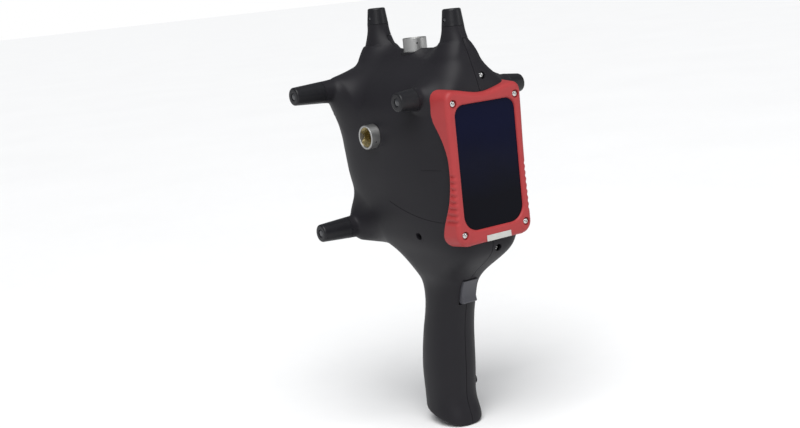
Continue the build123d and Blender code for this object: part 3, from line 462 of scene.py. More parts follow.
@dataclass(frozen=True)
class Post:
    """A marker post: centre of its cap's seam, way out, cap length, root depth and root fillet.

    ease is how far below the seam the fillet takes to reach its full size, and swell how much
    the post's radius has grown 30 mm below the seam.
    """

    place: Point
    out: Point
    cap_len: float
    root: float
    fillet: float
    ease: float = 0.1
    swell: float = 0.0
    under: float = 0.0  # share by which fillet and swell grow below the post and shrink above it

    @property
    def upright(self) -> bool:
        """True for the two posts on top of the head."""
        return self.out[2] > 0.5


def all_posts() -> Dict[str, Post]:
    """The eight posts: two upright ones and three on each side.

    Returns:
        Each post by name, left before right.
    """
    posts = {
        "top_front": Post((0.0, -57.2, 372.1), UP, 15.5, 46.0, 23.0),
        "top_rear": Post((0.0, 61.2, 377.8), UP, 15.5, 50.0, 27.0),
    }
    right_side = {
        "front": Post((52.6, -58.2, 312.75), RIGHT, 17.7, 20.0, 10.0, 8.0),
        "high_rear": Post((73.5, 60.7, 320.9), RIGHT, 30.0, 55.0, 27.0, 18.0, 5.0, 0.32),
        "low_rear": Post((64.5, 54.7, 189.8), RIGHT, 30.0, 45.0, 25.0, 14.0, 3.5, -0.12),
    }
    for name, post in right_side.items():
        for side, way in (("left", -1.0), ("right", 1.0)):
            x, y, z = post.place
            posts[side + "_" + name] = replace(post, place=(way * x, y, z), out=(way, 0.0, 0.0))
    return posts


POSTS = all_posts()
REFLECTORS: Dict[str, Tuple[Point, Point]] = {
    "top": ((0.0, 3.2, 363.5), UP),
    "left": ((-65.0, 5.0, 279.0), (-1.0, 0.0, 0.0)),
    "right": ((65.0, 5.0, 279.0), RIGHT),
}


def along(place: Point, out: Point, distance: float) -> Point:
    """Point at a distance from a place along out."""
    return tuple(float(a + distance * b) for a, b in zip(place, out))


def soft_min(first: np.ndarray, second: np.ndarray, fillet: float) -> np.ndarray:
    """Union of two distance fields with a round fillet between them."""
    near = np.hypot(np.maximum(fillet - first, 0.0), np.maximum(fillet - second, 0.0))
    return np.maximum(fillet, np.minimum(first, second)) - near


def soft_max(first: np.ndarray, second: np.ndarray, rounding: float) -> np.ndarray:
    """Intersection of two distance fields with a rounded edge between them."""
    return -soft_min(-first, -second, rounding)


@dataclass
class HousingForm:
    """The housing's outer form as one smooth distance field, in millimetres."""

    levels: Tuple[Level, ...] = (
        Level(-16.0, -29.4, 26.4, 22.8, -1.0, 2.3, 2.3, 0.0),
        Level(-4.0, -30.4, 26.8, 23.4, -1.0, 2.3, 2.3, 0.0),
        Level(3.0, -29.2, 27.0, 23.3, -1.0, 2.3, 2.3, 0.0),
        Level(10.0, -25.4, 26.8, 22.4, 0.0, 2.3, 2.3, 0.0),
        Level(20.0, -24.2, 27.0, 22.2, 1.4, 2.3, 2.3, 0.0),
        Level(46.0, -27.7, 27.2, 23.0, -0.6, 2.3, 2.3, 0.0),
        Level(66.0, -29.3, 24.0, 22.7, -3.0, 2.3, 2.3, 0.0),
        Level(86.0, -31.3, 19.4, 22.1, -6.3, 2.3, 2.3, 0.0),
        Level(102.0, -34.5, 14.4, 21.5, -10.4, 2.3, 2.3, 0.0),
        Level(116.0, -39.1, 12.0, 21.4, -14.0, 2.3, 2.3, 0.0),
        Level(130.0, -43.1, 13.5, 21.5, -16.0, 2.4, 2.3, 0.0),
        Level(137.5, -46.5, 14.5, 23.6, -17.0, 2.5, 2.3, 0.0),
        Level(145.0, -54.0, 17.0, 29.5, -18.0, 2.8, 2.3, 0.06),
        Level(156.0, -70.4, 23.5, 35.0, -14.0, 3.6, 2.3, 0.10),
        Level(168.0, -85.3, 36.0, 40.0, -8.0, 5.0, 2.5, 0.15),
        Level(182.0, -87.3, 65.0, 48.5, 0.0, 7.0, 2.9, 0.24),
        Level(204.0, -87.8, 76.0, 53.0, 8.0, 8.0, 3.0, 0.25),
        Level(240.0, -87.8, 81.0, 56.0, 12.0, 8.0, 3.5, 0.25),
        Level(280.0, -87.8, 82.0, 56.5, 12.0, 8.0, 4.3, 0.25),
        Level(304.0, -87.8, 81.5, 54.0, 12.0, 8.0, 3.4, 0.23),
        Level(318.0, -86.3, 80.5, 49.0, 10.0, 6.0, 2.6, 0.20),
        Level(330.0, -80.6, 78.0, 39.5, 6.0, 4.0, 2.0, 0.12),
        Level(340.0, -73.6, 72.6, 26.0, 3.0, 3.0, 1.9, 0.06),
        Level(347.0, -69.0, 68.0, 16.0, 2.0, 2.6, 2.4, 0.0),
        Level(351.5, -65.0, 64.0, 9.5, 2.0, 2.4, 2.4, 0.0),
        Level(358.0, -57.0, 57.0, 3.0, 2.0, 2.4, 2.4, 0.0),
    )
    easing: float = 4.5  # millimetres of height over which neighbouring levels ease together
    crown_round: float = 9.0
    crown_z: float = 353.5
    front_flat_y: float = -87.0
    rear_most_y: float = 81.9
    foot_tilt: float = 16.0
    foot_round: float = 2.6
    post_r: float = 10.2
    overrun: float = 5.0  # posts run on past their seams here and are cut flat afterwards

    def __post_init__(self) -> None:
        """Eases the level values into smooth curves over the height."""
        step = 0.5
        self.heights = np.arange(-60.0, 420.0, step)
        reach = np.arange(-4.0 * self.easing, 4.0 * self.easing + step, step)
        weight = np.exp(-0.5 * (reach / self.easing) ** 2)
        weight /= weight.sum()
        at = [level.z for level in self.levels]
        self.curves: Dict[str, np.ndarray] = {}
        for name in ("front", "rear", "half", "full", "square", "back", "narrow"):
            plain = np.interp(self.heights, at, [getattr(level, name) for level in self.levels])
            padded = np.pad(plain, len(reach) // 2, mode="edge")
            self.curves[name] = np.convolve(padded, weight, mode="valid")[: len(self.heights)]

    def gauge(self, points: np.ndarray) -> np.ndarray:
        """Cross-section gauge, 1 on the skin and less inside."""
        top = self.levels[-1].z
        z = np.minimum(points[:, 2], top)
        value = {name: np.interp(z, self.heights, curve) for name, curve in self.curves.items()}
        away = points[:, 1] - value["full"]
        ahead = away < 0.0
        reach = np.where(ahead, value["full"] - value["front"], value["rear"] - value["full"])
        power = np.where(ahead, value["square"], value["back"])
        y = np.abs(away) / reach
        half = value["half"] * np.where(ahead, 1.0 - value["narrow"] * np.minimum(y * y, 1.2), 1.0)
        x = np.abs(points[:, 0]) / half
        most = np.maximum(np.maximum(x, y), 1e-6)
        return most * ((x / most) ** power + (y / most) ** power) ** (1.0 / power)

    def trunk(self, points: np.ndarray) -> np.ndarray:
        """Distance to grip and head without the posts."""
        here = self.gauge(points)
        step = 0.2
        slope = np.zeros_like(points)
        for axis in range(3):
            moved = points.copy()
            moved[:, axis] += step
            slope[:, axis] = (self.gauge(moved) - here) / step
        side = (here - 1.0) / np.maximum(np.linalg.norm(slope, axis=1), 1e-3)
        lid = points[:, 2] - self.crown_z
        return soft_max(side, lid, self.crown_round)

    def value(self, points: np.ndarray) -> np.ndarray:
        """Distance to the whole outer form."""
        whole = self.trunk(points)
        for post in POSTS.values():
            out = np.array(post.out)
            away = points - np.array(post.place)
            height = away @ out
            radial = np.linalg.norm(away - np.outer(height, out), axis=1)
            side = 1.0 - post.under * np.clip(away[:, 2] / np.maximum(radial, 1.0), -1.0, 1.0)
            swell = post.swell * side * np.clip(-height / 30.0, 0.0, 1.3) ** 1.5
            bar = soft_max(radial - self.post_r - swell, height - self.overrun, 0.5)
            bar = np.maximum(bar, -height - post.root)
            rise = np.clip(-height / post.ease, 0.03, 1.0) if post.ease > 1.0 else 1.0
            whole = soft_min(whole, bar, post.fillet * rise * side)
        whole = soft_max(whole, self.front_flat_y - points[:, 1], 0.6)
        whole = soft_max(whole, points[:, 1] - self.rear_most_y, 5.0)
        tilt = math.radians(self.foot_tilt)
        below = points @ np.array((0.0, math.sin(tilt), -math.cos(tilt)))
        return soft_max(whole, below, self.foot_round)

    def settle(self, points: np.ndarray, depth: float, rounds: int) -> np.ndarray:
        """Moves points onto the skin, or to a depth below it.

        Args:
            points: Points near the skin.
            depth: Millimetres below the skin.
            rounds: How many corrections.

        Returns:
            The moved points.
        """
        step = 0.1
        for _ in range(rounds):
            here = self.value(points)
            slope = np.zeros_like(points)
            for axis in range(3):
                moved = points.copy()
                moved[:, axis] += step
                slope[:, axis] = (self.value(moved) - here) / step
            size = np.maximum(np.linalg.norm(slope, axis=1), 0.2)
            shift = np.clip((here + depth) / size, -6.0, 6.0)
            points = points - slope / size[:, None] * shift[:, None]
        return points


@dataclass
class Housing:
    """The two housing halves: one outer form, hollowed, opened and parted in the middle."""

    form: HousingForm = field(default_factory=HousingForm)
    skin_cell: float = 1.7
    inner_cell: float = 3.4
    wall: float = 2.6
    seam: float = 0.5
    tongue_depth: float = 1.25
    tongue_gap: float = 0.15
    tongue_reach: float = 2.5
    side_screws: Tuple[Tuple[float, float, int], ...] = (
        (-38.5, 187.0, -1), (60.0, 250.0, 1), (30.0, 326.0, 1), (-12.0, 30.0, 1), (-16.0, 92.0, 1))
    side_recess_r: float = 3.5
    side_recess_depth: float = 9.0
    front_screws: Tuple[Tuple[float, float], ...] = ((8.0, 327.0), (7.0, 171.0))
    front_seat_y: float = -80.0
    front_recess_r: float = 3.4
    groove_w: float = 0.55
    groove_depth: float = 0.4
    ring_bore_r: float = 11.35
    ring_depth: float = 18.0
    ring_seat_r: float = 13.9
    boss_r: float = 5.4
    cap_room_r: float = 18.0
    cap_room_len: float = 14.0
    neck_half: float = 20.0
    neck_under: float = 11.0
    spigot_bore_r: float = 5.5
    spigot_depth: float = 8.0
    socket_bore_r: float = 8.8
    socket_depth: float = 20.0
    slot_round: float = 1.0
    window_opening: Tuple[Point, Point] = ((-32.0, -95.0, 198.0), (32.0, -80.0, 300.0))
    trigger_slot: Tuple[Point, Point] = ((-8.6, -70.0, 113.5), (8.6, -33.0, 138.0))
    far: float = 130.0  # past the housing in X and Y
    floor_z: float = -60.0  # below the housing
    sky_z: float = 420.0  # above the housing
    cheek_lines: Tuple[Tuple[Tuple[float, float], ...], ...] = (
        ((-7.7, 218.6), (-22.6, 212.3), (-44.8, 205.4), (-65.4, 201.8), (-78.0, 201.2)),
        ((-56.0, 249.2), (-64.0, 249.2), (-76.0, 249.2)),
    )

    def blank(self, name: str, cell: float, depth: float) -> bpy.types.Object:
        """The outer form, or a form a wall below it, as one closed mesh.

        Args:
            name: Name of the mesh.
            cell: Size of its faces.
            depth: How far below the skin it lies.

        Returns:
            The settled mesh.
        """
        lumps = []
        levels = self.form.levels
        for low, high in zip(levels[:-1], levels[1:]):
            clear_selection()
            bpy.ops.mesh.primitive_cylinder_add(vertices=32, radius=MM, depth=MM)
            lump = bpy.context.active_object
            for corner in lump.data.vertices:
                level = high if corner.co.z > 0 else low
                away = corner.co.y / MM
                reach = level.full - level.front if away < 0 else level.rear - level.full
                corner.co = (corner.co.x * (level.half - depth), MM * (level.full + away * (reach - depth)),
                             MM * (level.z + (1.0 if level is high else -1.0)))
            lumps.append(lump)
        for post in POSTS.values():
            lumps.append(rod_cutter(along(post.place, post.out, -post.root), post.out,
                                    self.form.post_r + 1.0 - depth, post.root + 3.0 - depth, 24))
        whole = joined(lumps, name)
        finish_with(whole, "REMESH", mode="VOXEL", voxel_size=cell * MM)
        mesh = whole.data
        count = len(mesh.vertices)
        flat = np.empty(count * 3)
        mesh.vertices.foreach_get("co", flat)
        points = flat.reshape(-1, 3) / MM
        ends = np.empty(len(mesh.edges) * 2, dtype=np.int64)
        mesh.edges.foreach_get("vertices", ends)
        ends = ends.reshape(-1, 2)
        share = np.maximum(np.bincount(ends.ravel(), minlength=count), 1)[:, None]
        points = self.form.settle(points, depth, 5)
        for _ in range(6):
            for _ in range(3):
                total = np.zeros_like(points)
                for axis in range(3):
                    total[:, axis] = (np.bincount(ends[:, 0], points[ends[:, 1], axis], count)
                                      + np.bincount(ends[:, 1], points[ends[:, 0], axis], count))
                points = 0.45 * points + 0.55 * total / share
            points = self.form.settle(points, depth, 1)
        points = self.form.settle(points, depth, 2)
        mesh.vertices.foreach_set("co", (points * MM).ravel())
        mesh.update()
        log.info("%s: %d points, worst distance %.2f mm", name, count,
                 float(np.abs(self.form.value(points) + depth).max()))
        return whole

    def openings(self) -> List[bpy.types.Object]:
        """The tools for every hole and recess in the housing, none touching another."""
        tools = []
        for post in POSTS.values():
            tools.append(rod_cutter(post.place, post.out, self.cap_room_r, self.cap_room_len, 48))
            bore_from = along(post.place, post.out, -self.spigot_depth)
            tools.append(rod_cutter(bore_from, post.out, self.spigot_bore_r, self.spigot_depth - 0.01, 32))
        for place, out in REFLECTORS.values():
            tools.append(rod_cutter(along(place, out, -self.ring_depth), out, self.ring_bore_r, 30.0, 72))
        for y, z, way in self.side_screws:
            skin = self._skin_x(y, z)
            start = (way * (skin - self.side_recess_depth), y, z)
            tools.append(rod_cutter(start, (way, 0.0, 0.0), self.side_recess_r, 30.0, 40))
        for x, z in self.front_screws:
            tools.append(rod_cutter((x, self.front_seat_y, z), FORWARD, self.front_recess_r, 20.0, 40))
        for way in (-1, 1):
            tools += [self._groove(line, way) for line in self.cheek_lines]
        tools.append(box_cutter(*self.window_opening))
        tools.append(box_cutter(*self.trigger_slot, self.slot_round))
        tilt = math.radians(self.form.foot_tilt)
        down = (0.0, math.sin(tilt), -math.cos(tilt))
        socket_from = along(ORIGIN, down, -self.socket_depth)
        tools.append(rod_cutter(socket_from, down, self.socket_bore_r, 25.0, 64))
        return tools

    def _groove(self, spots: Sequence[Tuple[float, float]], way: int) -> bpy.types.Object:
        """Tool for a fine groove that follows the skin on one side.

        Args:
            spots: Y and Z of points along the groove.
            way: Side of the housing, -1 or 1.

        Returns:
            A closed bar that dips just under the skin all along.
        """
        spine = np.array(spots)
        run = np.concatenate([[0.0], np.cumsum(np.linalg.norm(np.diff(spine, axis=0), axis=1))])
        at = np.linspace(0.0, run[-1], 60)
        spine = np.stack([np.interp(at, run, spine[:, axis]) for axis in range(2)], axis=1)
        for _ in range(30):
            spine[1:-1] = 0.5 * spine[1:-1] + 0.25 * (spine[:-2] + spine[2:])
        tangent = np.gradient(spine, axis=0)
        tangent /= np.linalg.norm(tangent, axis=1)[:, None]
        across = np.stack([-tangent[:, 1], tangent[:, 0]], axis=1) * self.groove_w / 2.0
        points: List[Point] = []
        for spot, side in zip(spine, across):
            skin = self._skin_x(float(spot[0]), float(spot[1]))
            for x, sign in ((-self.groove_depth, -1), (-self.groove_depth, 1), (1.5, 1), (1.5, -1)):
                points.append((way * (skin + x), spot[0] + sign * side[0], spot[1] + sign * side[1]))
        last = 4 * (len(spine) - 1)
        faces = [[0, 1, 2, 3], [last + 3, last + 2, last + 1, last]]
        for ring in range(0, last, 4):
            for one in range(4):
                two = (one + 1) % 4
                faces.append([ring + one, ring + 4 + one, ring + 4 + two, ring + two])
        tool = from_points("groove", points, faces)
        tidy_normals(tool)
        return tool

    def _skin_x(self, y: float, z: float) -> float:
        """Half width of the skin at a height and depth."""
        reach = np.linspace(0.0, 90.0, 900)
        spots = np.stack([reach, np.full_like(reach, y), np.full_like(reach, z)], axis=1)
        return float(reach[np.argmax(self.form.value(spots) > 0.0)])

    def bosses(self) -> List[bpy.types.Object]:
        """Screw tubes and ring seats that stand inside the wall, none touching another."""
        made = []
        for y, z, way in self.side_screws:
            skin = self._skin_x(y, z)
            made.append(rod_cutter((way * 2.0, y, z), (way, 0.0, 0.0), self.boss_r, skin - 3.2, 32))
        for place, out in REFLECTORS.values():
            made.append(rod_cutter(along(place, out, -19.0), out, self.ring_seat_r, 19.0 - 12.0 - 0.9, 48))
        return made

    def halves(self) -> Tuple[bpy.types.Object, bpy.types.Object]:
        """Both halves of the hollow housing, left then right."""
        outer = self.blank("housing_outer", self.skin_cell, 0.0)
        inner = self.blank("housing_inner", self.inner_cell, self.wall)
        pick(inner)
        bpy.ops.object.mode_set(mode="EDIT")
        bpy.ops.mesh.select_all(action="SELECT")
        bpy.ops.mesh.flip_normals()
        bpy.ops.object.mode_set(mode="OBJECT")
        shell = joined([outer, inner], "housing_shell")
        cut(shell, [joined(self.bosses(), "bosses")], "UNION")
        cut(shell, [joined(self.openings(), "openings")])
        right = shell.copy()
        right.data = shell.data.copy()
        bpy.context.scene.collection.objects.link(right)
        gap = self.seam / 2.0
        low = (-self.far, -self.far, self.floor_z)
        high = (self.far, self.far, self.sky_z)
        uprights = [post.place for post in POSTS.values() if post.upright]
        tongue = self.blank("tongue", self.inner_cell, self.tongue_depth + self.tongue_gap)
        cut(tongue, [box_cutter((-gap - 2.0, *low[1:]), (self.tongue_reach, *high[1:]))], "INTERSECT")
        left_tool = box_cutter(low, (-gap, *high[1:]))
        cut(left_tool, [tongue], "UNION")
        half, under = self.neck_half, self.neck_under
        necks = [box_cutter((-gap - 1.0, y - half, z - under), (25.0, y + half, z + 20.0))
                 for _, y, z in uprights]
        cut(left_tool, necks, "UNION")
        right_tool = box_cutter((gap, *low[1:]), high)
        neck_room = [box_cutter((-5.0, y - half, z - under - self.seam), (30.0, y + half, z + 25.0))
                     for _, y, z in uprights]
        rebate = self.blank("rebate", self.inner_cell, self.tongue_depth)
        cut(rebate, [box_cutter((-2.0, *low[1:]), (self.tongue_reach + 0.2, *high[1:]))], "INTERSECT")
        cut(right_tool, neck_room + [rebate])
        cut(shell, [left_tool], "INTERSECT")
        cut(right, [right_tool], "INTERSECT")
        return shell, right

    def build(self) -> List[bpy.types.Object]:
        """Both halves with their finish, riding on the housing."""
        left, right = self.halves()
        for piece, name in ((left, "left_shell"), (right, "right_shell")):
            piece.name = "housing_" + name
            tidy_normals(piece, 0.002)
            smooth(piece, 32.0)
            place_on(piece, HOUSING, "housing", [name])
        return [left, right]


@dataclass
class Studio:
    """Pale floor, soft lights and the camera."""

    around: float = 0.22
    around_colour: Tuple[float, float, float, float] = (0.93, 0.96, 1.0, 1.0)
    white: Tuple[float, float, float, float] = (1.0, 1.0, 1.0, 1.0)
    sun: float = 3.3
    sun_spread_deg: float = 50.0
    sun_way: Point = (0.35, 0.45, -1.0)
    aim_at: Point = (0.0, 0.0, 0.25)
    floor_size: float = 80.0
    floor_drop: float = 0.3
    camera_at: Point = (-0.70242, -0.97592, 0.41227)
    facing_deg: float = 34.214
    downward_deg: float = 10.052
    roll_deg: float = 5.965
    lens_mm: float = 57.72

    def build(self) -> None:
        """Makes the floor, the world, the lights and the camera."""
        self._floor()
        self._world()
        self._sun()
        self._light("key_light", (-1.5, -1.5, 1.3), self.aim_at, 1.2, 9.0)
        self._light("fill_light", (1.3, -1.6, 0.8), self.aim_at, 1.0, 5.0)
        self._camera()

    def _floor(self) -> None:
        """A pale floor just under the foot."""
        low = CAD_BOX[0][2]
        clear_selection()
        bpy.ops.mesh.primitive_plane_add(size=self.floor_size, location=(0, 0, 0))
        floor = bpy.context.active_object
        floor.name = "studio_floor"
        floor.data.transform(Matrix.Translation((0.0, 0.0, low - self.floor_drop * MM)))
        floor.data.materials.append(FLOOR_WHITE.material())

    def _world(self) -> None:
        """Soft light from all round, with plain white behind the object."""
        world = bpy.data.worlds.new("studio")
        bpy.context.scene.world = world
        world.use_nodes = True
        tree = world.node_tree
        around = tree.nodes["Background"]
        around.inputs["Color"].default_value = self.around_colour
        around.inputs["Strength"].default_value = self.around
        behind = tree.nodes.new("ShaderNodeBackground")
        behind.inputs["Color"].default_value = self.white
        behind.inputs["Strength"].default_value = 1.0
        path = tree.nodes.new("ShaderNodeLightPath")
        blend = tree.nodes.new("ShaderNodeMixShader")
        tree.links.new(path.outputs["Is Camera Ray"], blend.inputs[0])
        tree.links.new(around.outputs[0], blend.inputs[1])
        tree.links.new(behind.outputs[0], blend.inputs[2])
        tree.links.new(blend.outputs[0], tree.nodes["World Output"].inputs["Surface"])
        bpy.context.scene.view_settings.view_transform = "Standard"

    def _sun(self) -> None:
        """A wide sun from above that whitens the floor."""
        light = bpy.data.lights.new("soft_sun", "SUN")
        light.energy = self.sun
        light.angle = math.radians(self.sun_spread_deg)
        holder = bpy.data.objects.new("soft_sun", light)
        bpy.context.scene.collection.objects.link(holder)
        holder.matrix_world = Vector(self.sun_way).to_track_quat("-Z", "Y").to_matrix().to_4x4()

    def _camera(self) -> None:
        """The camera, turned to face the object, tilted down and rolled a little."""
        camera = bpy.data.cameras.new("front_camera")
        camera.lens = self.lens_mm
        camera.sensor_width = 36.0
        seat = bpy.data.objects.new("front_camera", camera)
        bpy.context.scene.collection.objects.link(seat)
        turn = (Matrix.Rotation(math.radians(-self.facing_deg), 4, "Z")
                @ Matrix.Rotation(math.radians(90.0 - self.downward_deg), 4, "X")
                @ Matrix.Rotation(math.radians(-self.roll_deg), 4, "Z"))
        seat.matrix_world = Matrix.Translation(self.camera_at) @ turn
        bpy.context.scene.camera = seat

    @staticmethod
    def _light(name: str, place: Point, target: Point, size: float, power: float) -> None:
        """One large soft lamp aimed at a target."""
        lamp = bpy.data.lights.new(name, "AREA")
        lamp.shape = "DISK"
        lamp.size = size
        lamp.energy = power
        holder = bpy.data.objects.new(name, lamp)
        bpy.context.scene.collection.objects.link(holder)
        aim = Vector(target) - Vector(place)
        holder.matrix_world = Matrix.Translation(place) @ aim.to_track_quat("-Z", "Y").to_matrix().to_4x4()


# ------------------------------------------------------------------ bumper
@dataclass
class Bumper:
    """The red frame round the scan window, with its ribbed side wings and screw recesses.

    Its skin is a grid: one row of points for each step of the profile, each row running once
    round the window.
    """

    face_y: float = -93.2
    window_z: float = 249.0
    window_w: float = 67.5
    window_h: float = 112.0
    window_top_r: float = 10.0
    window_low_r: float = 15.0
    half: float = 42.5
    low_z: float = 180.0
    mid_top_z: float = 313.3
    ear_top_z: float = 318.5
    ear_x: float = 34.2
    flare_deg: float = 5.5
    edge_r: float = 4.6
    corner_r: float = 11.0
    waist: float = 1.0
    ear_drop: float = 8.6
    ear_r: float = 8.0
    sag: float = 0.35
    glass_y: float = -91.05
    back_y: float = -87.05
    rib_count: int = 8
    rib_low_z: float = 203.0
    rib_pitch: float = 5.8
    rib_depth: float = 1.5
    steps: int = 480
    screw_x: float = 35.1
    screw_z: Tuple[float, float] = (190.8, 307.2)
    recess_r: float = 3.7
    label_seat: Tuple[Tuple[float, float], Tuple[float, float]] = ((-11.6, 180.85), (16.6, 186.55))
    rear_edge: Tuple[Tuple[float, float], ...] = (
        (-73.0, 178.0), (-73.0, 192.0), (-75.5, 200.0), (-83.2, 217.0), (-86.2, 232.0), (-87.4, 246.0),
        (-87.0, 260.0), (-82.5, 275.0), (-73.0, 292.0), (-64.0, 307.0), (-61.0, 316.0), (-61.0, 330.0))

    def outer_loop(self) -> np.ndarray:
        """The outline of the frame at its face, once round, starting below the middle.

        Returns:
            X and Z of evenly spaced points.
        """
        corner = self.corner_r
        side_low = self.low_z + corner
        side_high = self.ear_top_z - 9.0
        right: List[Tuple[float, float]] = [
            (x, self.low_z + self.sag * (math.cos(math.pi * x / 60.0) - 1.0))
            for x in np.linspace(0.0, self.half - corner, 24)]
        for turn in np.linspace(-90.0, 0.0, 24)[1:]:
            right.append((self.half - corner + corner * math.cos(math.radians(turn)),
                          side_low + corner * math.sin(math.radians(turn))))
        for z in np.linspace(side_low, side_high, 60)[1:]:
            share = (z - side_low) / (side_high - side_low)
            right.append((self.half - self.waist * math.sin(math.pi * share) ** 2, z))
        for turn in np.linspace(0.0, 84.0, 20)[1:]:
            right.append((self.half - self.ear_r * (1.0 - math.cos(math.radians(turn))),
                          self.ear_top_z - self.ear_drop * (1.0 - math.sin(math.radians(turn)))))
        start_x, start_z = right[-1]
        for share in np.linspace(0.0, 1.0, 40)[1:]:
            ease = share * share * (3.0 - 2.0 * share)
            right.append((start_x * (1.0 - share), start_z + (self.mid_top_z - start_z) * ease))
        loop = right + [(-x, z) for x, z in reversed(right[1:-1])]
        return self._even(np.array(loop))

    def window_loop(self, fineness: int = 1) -> np.ndarray:
        """The window's outline, once round, with a multiple of the usual points."""
        half_w = self.window_w / 2.0
        low = self.window_z - self.window_h / 2.0
        high = self.window_z + self.window_h / 2.0
        right: List[Tuple[float, float]] = [(x, low)
                                            for x in np.linspace(0.0, half_w - self.window_low_r, 20)]
        for turn in np.linspace(-90.0, 0.0, 24)[1:]:
            right.append((half_w - self.window_low_r * (1.0 - math.cos(math.radians(turn))),
                          low + self.window_low_r * (1.0 + math.sin(math.radians(turn)))))
        for z in np.linspace(low + self.window_low_r, high - self.window_top_r, 50)[1:]:
            right.append((half_w, z))
        for turn in np.linspace(0.0, 90.0, 20)[1:]:
            right.append((half_w - self.window_top_r * (1.0 - math.cos(math.radians(turn))),
                          high - self.window_top_r * (1.0 - math.sin(math.radians(turn)))))
        for x in np.linspace(half_w - self.window_top_r, 0.0, 24)[1:]:
            right.append((x, high))
        loop = right + [(-x, z) for x, z in reversed(right[1:-1])]
        return self._even(np.array(loop), fineness)

    def _even(self, loop: np.ndarray, fineness: int = 1) -> np.ndarray:
        """Evenly spaced points along a closed loop."""
        closed = np.vstack([loop, loop[:1]])
        run = np.concatenate([[0.0], np.cumsum(np.linalg.norm(np.diff(closed, axis=0), axis=1))])
        at = np.linspace(0.0, run[-1], self.steps * fineness, endpoint=False)
        return np.stack([np.interp(at, run, closed[:, axis]) for axis in range(2)], axis=1)

    def rear_y(self, z: np.ndarray) -> np.ndarray:
        """Where the side wing ends towards the rear at each height, eased."""
        at = np.linspace(170.0, 335.0, 331)
        plain = np.interp(at, [spot[1] for spot in self.rear_edge], [spot[0] for spot in self.rear_edge])
        weight = np.exp(-0.5 * (np.linspace(-3.0, 3.0, 61)) ** 2)
        eased = np.convolve(np.pad(plain, 30, mode="edge"), weight / weight.sum(), mode="valid")
        return np.interp(z, at, eased)

    def rows(self) -> List[np.ndarray]:
        """Every row of the grid, from the glass outwards, over the face and back along the sides."""
        outer = self.outer_loop()
        rim = self.window_loop(8)
        away = np.linalg.norm(outer[:, None, :] - rim[None, :, :], axis=2)
        inner = rim[np.argmin(away, axis=1)]
        count = self.steps
        tangent = np.roll(outer, -1, axis=0) - np.roll(outer, 1, axis=0)
        tangent /= np.linalg.norm(tangent, axis=1)[:, None]
        normal = np.stack([tangent[:, 1], -tangent[:, 0]], axis=1)
        side = np.clip((np.abs(normal[:, 0]) - 0.5) / 0.35, 0.0, 1.0)
        side = side * side * (3.0 - 2.0 * side)
        wing_y = self.rear_y(outer[:, 1])
        spread = np.minimum(np.abs(outer[:, 0]) / self.ear_x, 1.0)
        short_y = np.where(outer[:, 1] > self.window_z, -80.0 + 17.0 * spread ** 2, -79.0 + 4.0 * spread ** 2)
        end_y = short_y * (1.0 - side) + wing_y * side
        for _ in range(12):
            end_y = 0.5 * end_y + 0.25 * (np.roll(end_y, 1) + np.roll(end_y, -1))
        end_y = np.maximum(end_y, self.face_y + self.edge_r + 1.6)
        rows: List[np.ndarray] = []

        def row(flat: np.ndarray, depth: object) -> None:
            """Adds a row of points from X, Z and Y."""
            y = np.broadcast_to(np.asarray(depth, dtype=float), (count,))
            rows.append(np.stack([flat[:, 0], y, flat[:, 1]], axis=1))

        gap = outer - inner
        way = gap / np.linalg.norm(gap, axis=1)[:, None]
        row(inner + way * 1.3, self.back_y)
        row(inner + way * 1.3, self.glass_y)
        row(inner + way * 0.15, self.glass_y)
        row(inner, self.glass_y - 0.12)
        row(inner + way * 0.25, self.glass_y - 0.9)
        row(inner + way * 0.7, self.face_y + 0.45)
        row(inner + way * 1.3, self.face_y + 0.12)
        row(inner + way * 2.0, self.face_y)
        near = inner + way * 2.0
        far = outer - normal * self.edge_r
        for share in (0.2, 0.4, 0.6, 0.8):
            row(near + (far - near) * share, self.face_y)
        ribs = self._ribs(outer[:, 1]) * side
        for turn in (0.0, 15.0, 30.0, 45.0, 60.0, 75.0, 90.0 - self.flare_deg):
            lean = math.radians(turn)
            back = self.edge_r * (1.0 - math.sin(lean))
            drop = self.edge_r * (1.0 - math.cos(lean))
            dip = ribs * self.rib_depth * max(0.0, math.sin(lean) - 0.25) / 0.75
            row(outer - normal * (back + dip)[:, None], self.face_y + drop)
        out = np.stack([normal[:, 0], np.zeros(count), normal[:, 1]], axis=1)
        start = rows[-1] + out * (ribs * self.rib_depth)[:, None]
        reach = np.tan(math.radians(self.flare_deg))
        for share in np.linspace(0.0, 1.0, 12)[1:]:
            y = start[:, 1] + (end_y - start[:, 1]) * share
            grow = (y - start[:, 1]) * reach
            ends = min(1.0, (1.0 - share) / 0.12)
            flat = start[:, [0, 2]] + normal * (grow - ribs * self.rib_depth * ends)[:, None]
            row(flat, y)
        last = rows[-1]
        for inset, back in ((0.25, 0.35), (0.7, 0.55), (2.6, 0.6)):
            row(last[:, [0, 2]] - normal * inset, last[:, 1] + back)
        tail = rows[-1]
        row(tail[:, [0, 2]] - normal * 0.3, np.minimum(tail[:, 1] - 1.0, self.back_y))
        return rows

    def _ribs(self, z: np.ndarray) -> np.ndarray:
        """How deep the grooves between the ribs lie at each height, from 0 to 1."""
        first = self.rib_low_z - 0.5 * self.rib_pitch
        last = first + self.rib_count * self.rib_pitch
        wave = 0.5 - 0.5 * np.cos(2.0 * math.pi * (z - first) / self.rib_pitch)
        return np.where((z > first) & (z < last), wave ** 1.4, 0.0)

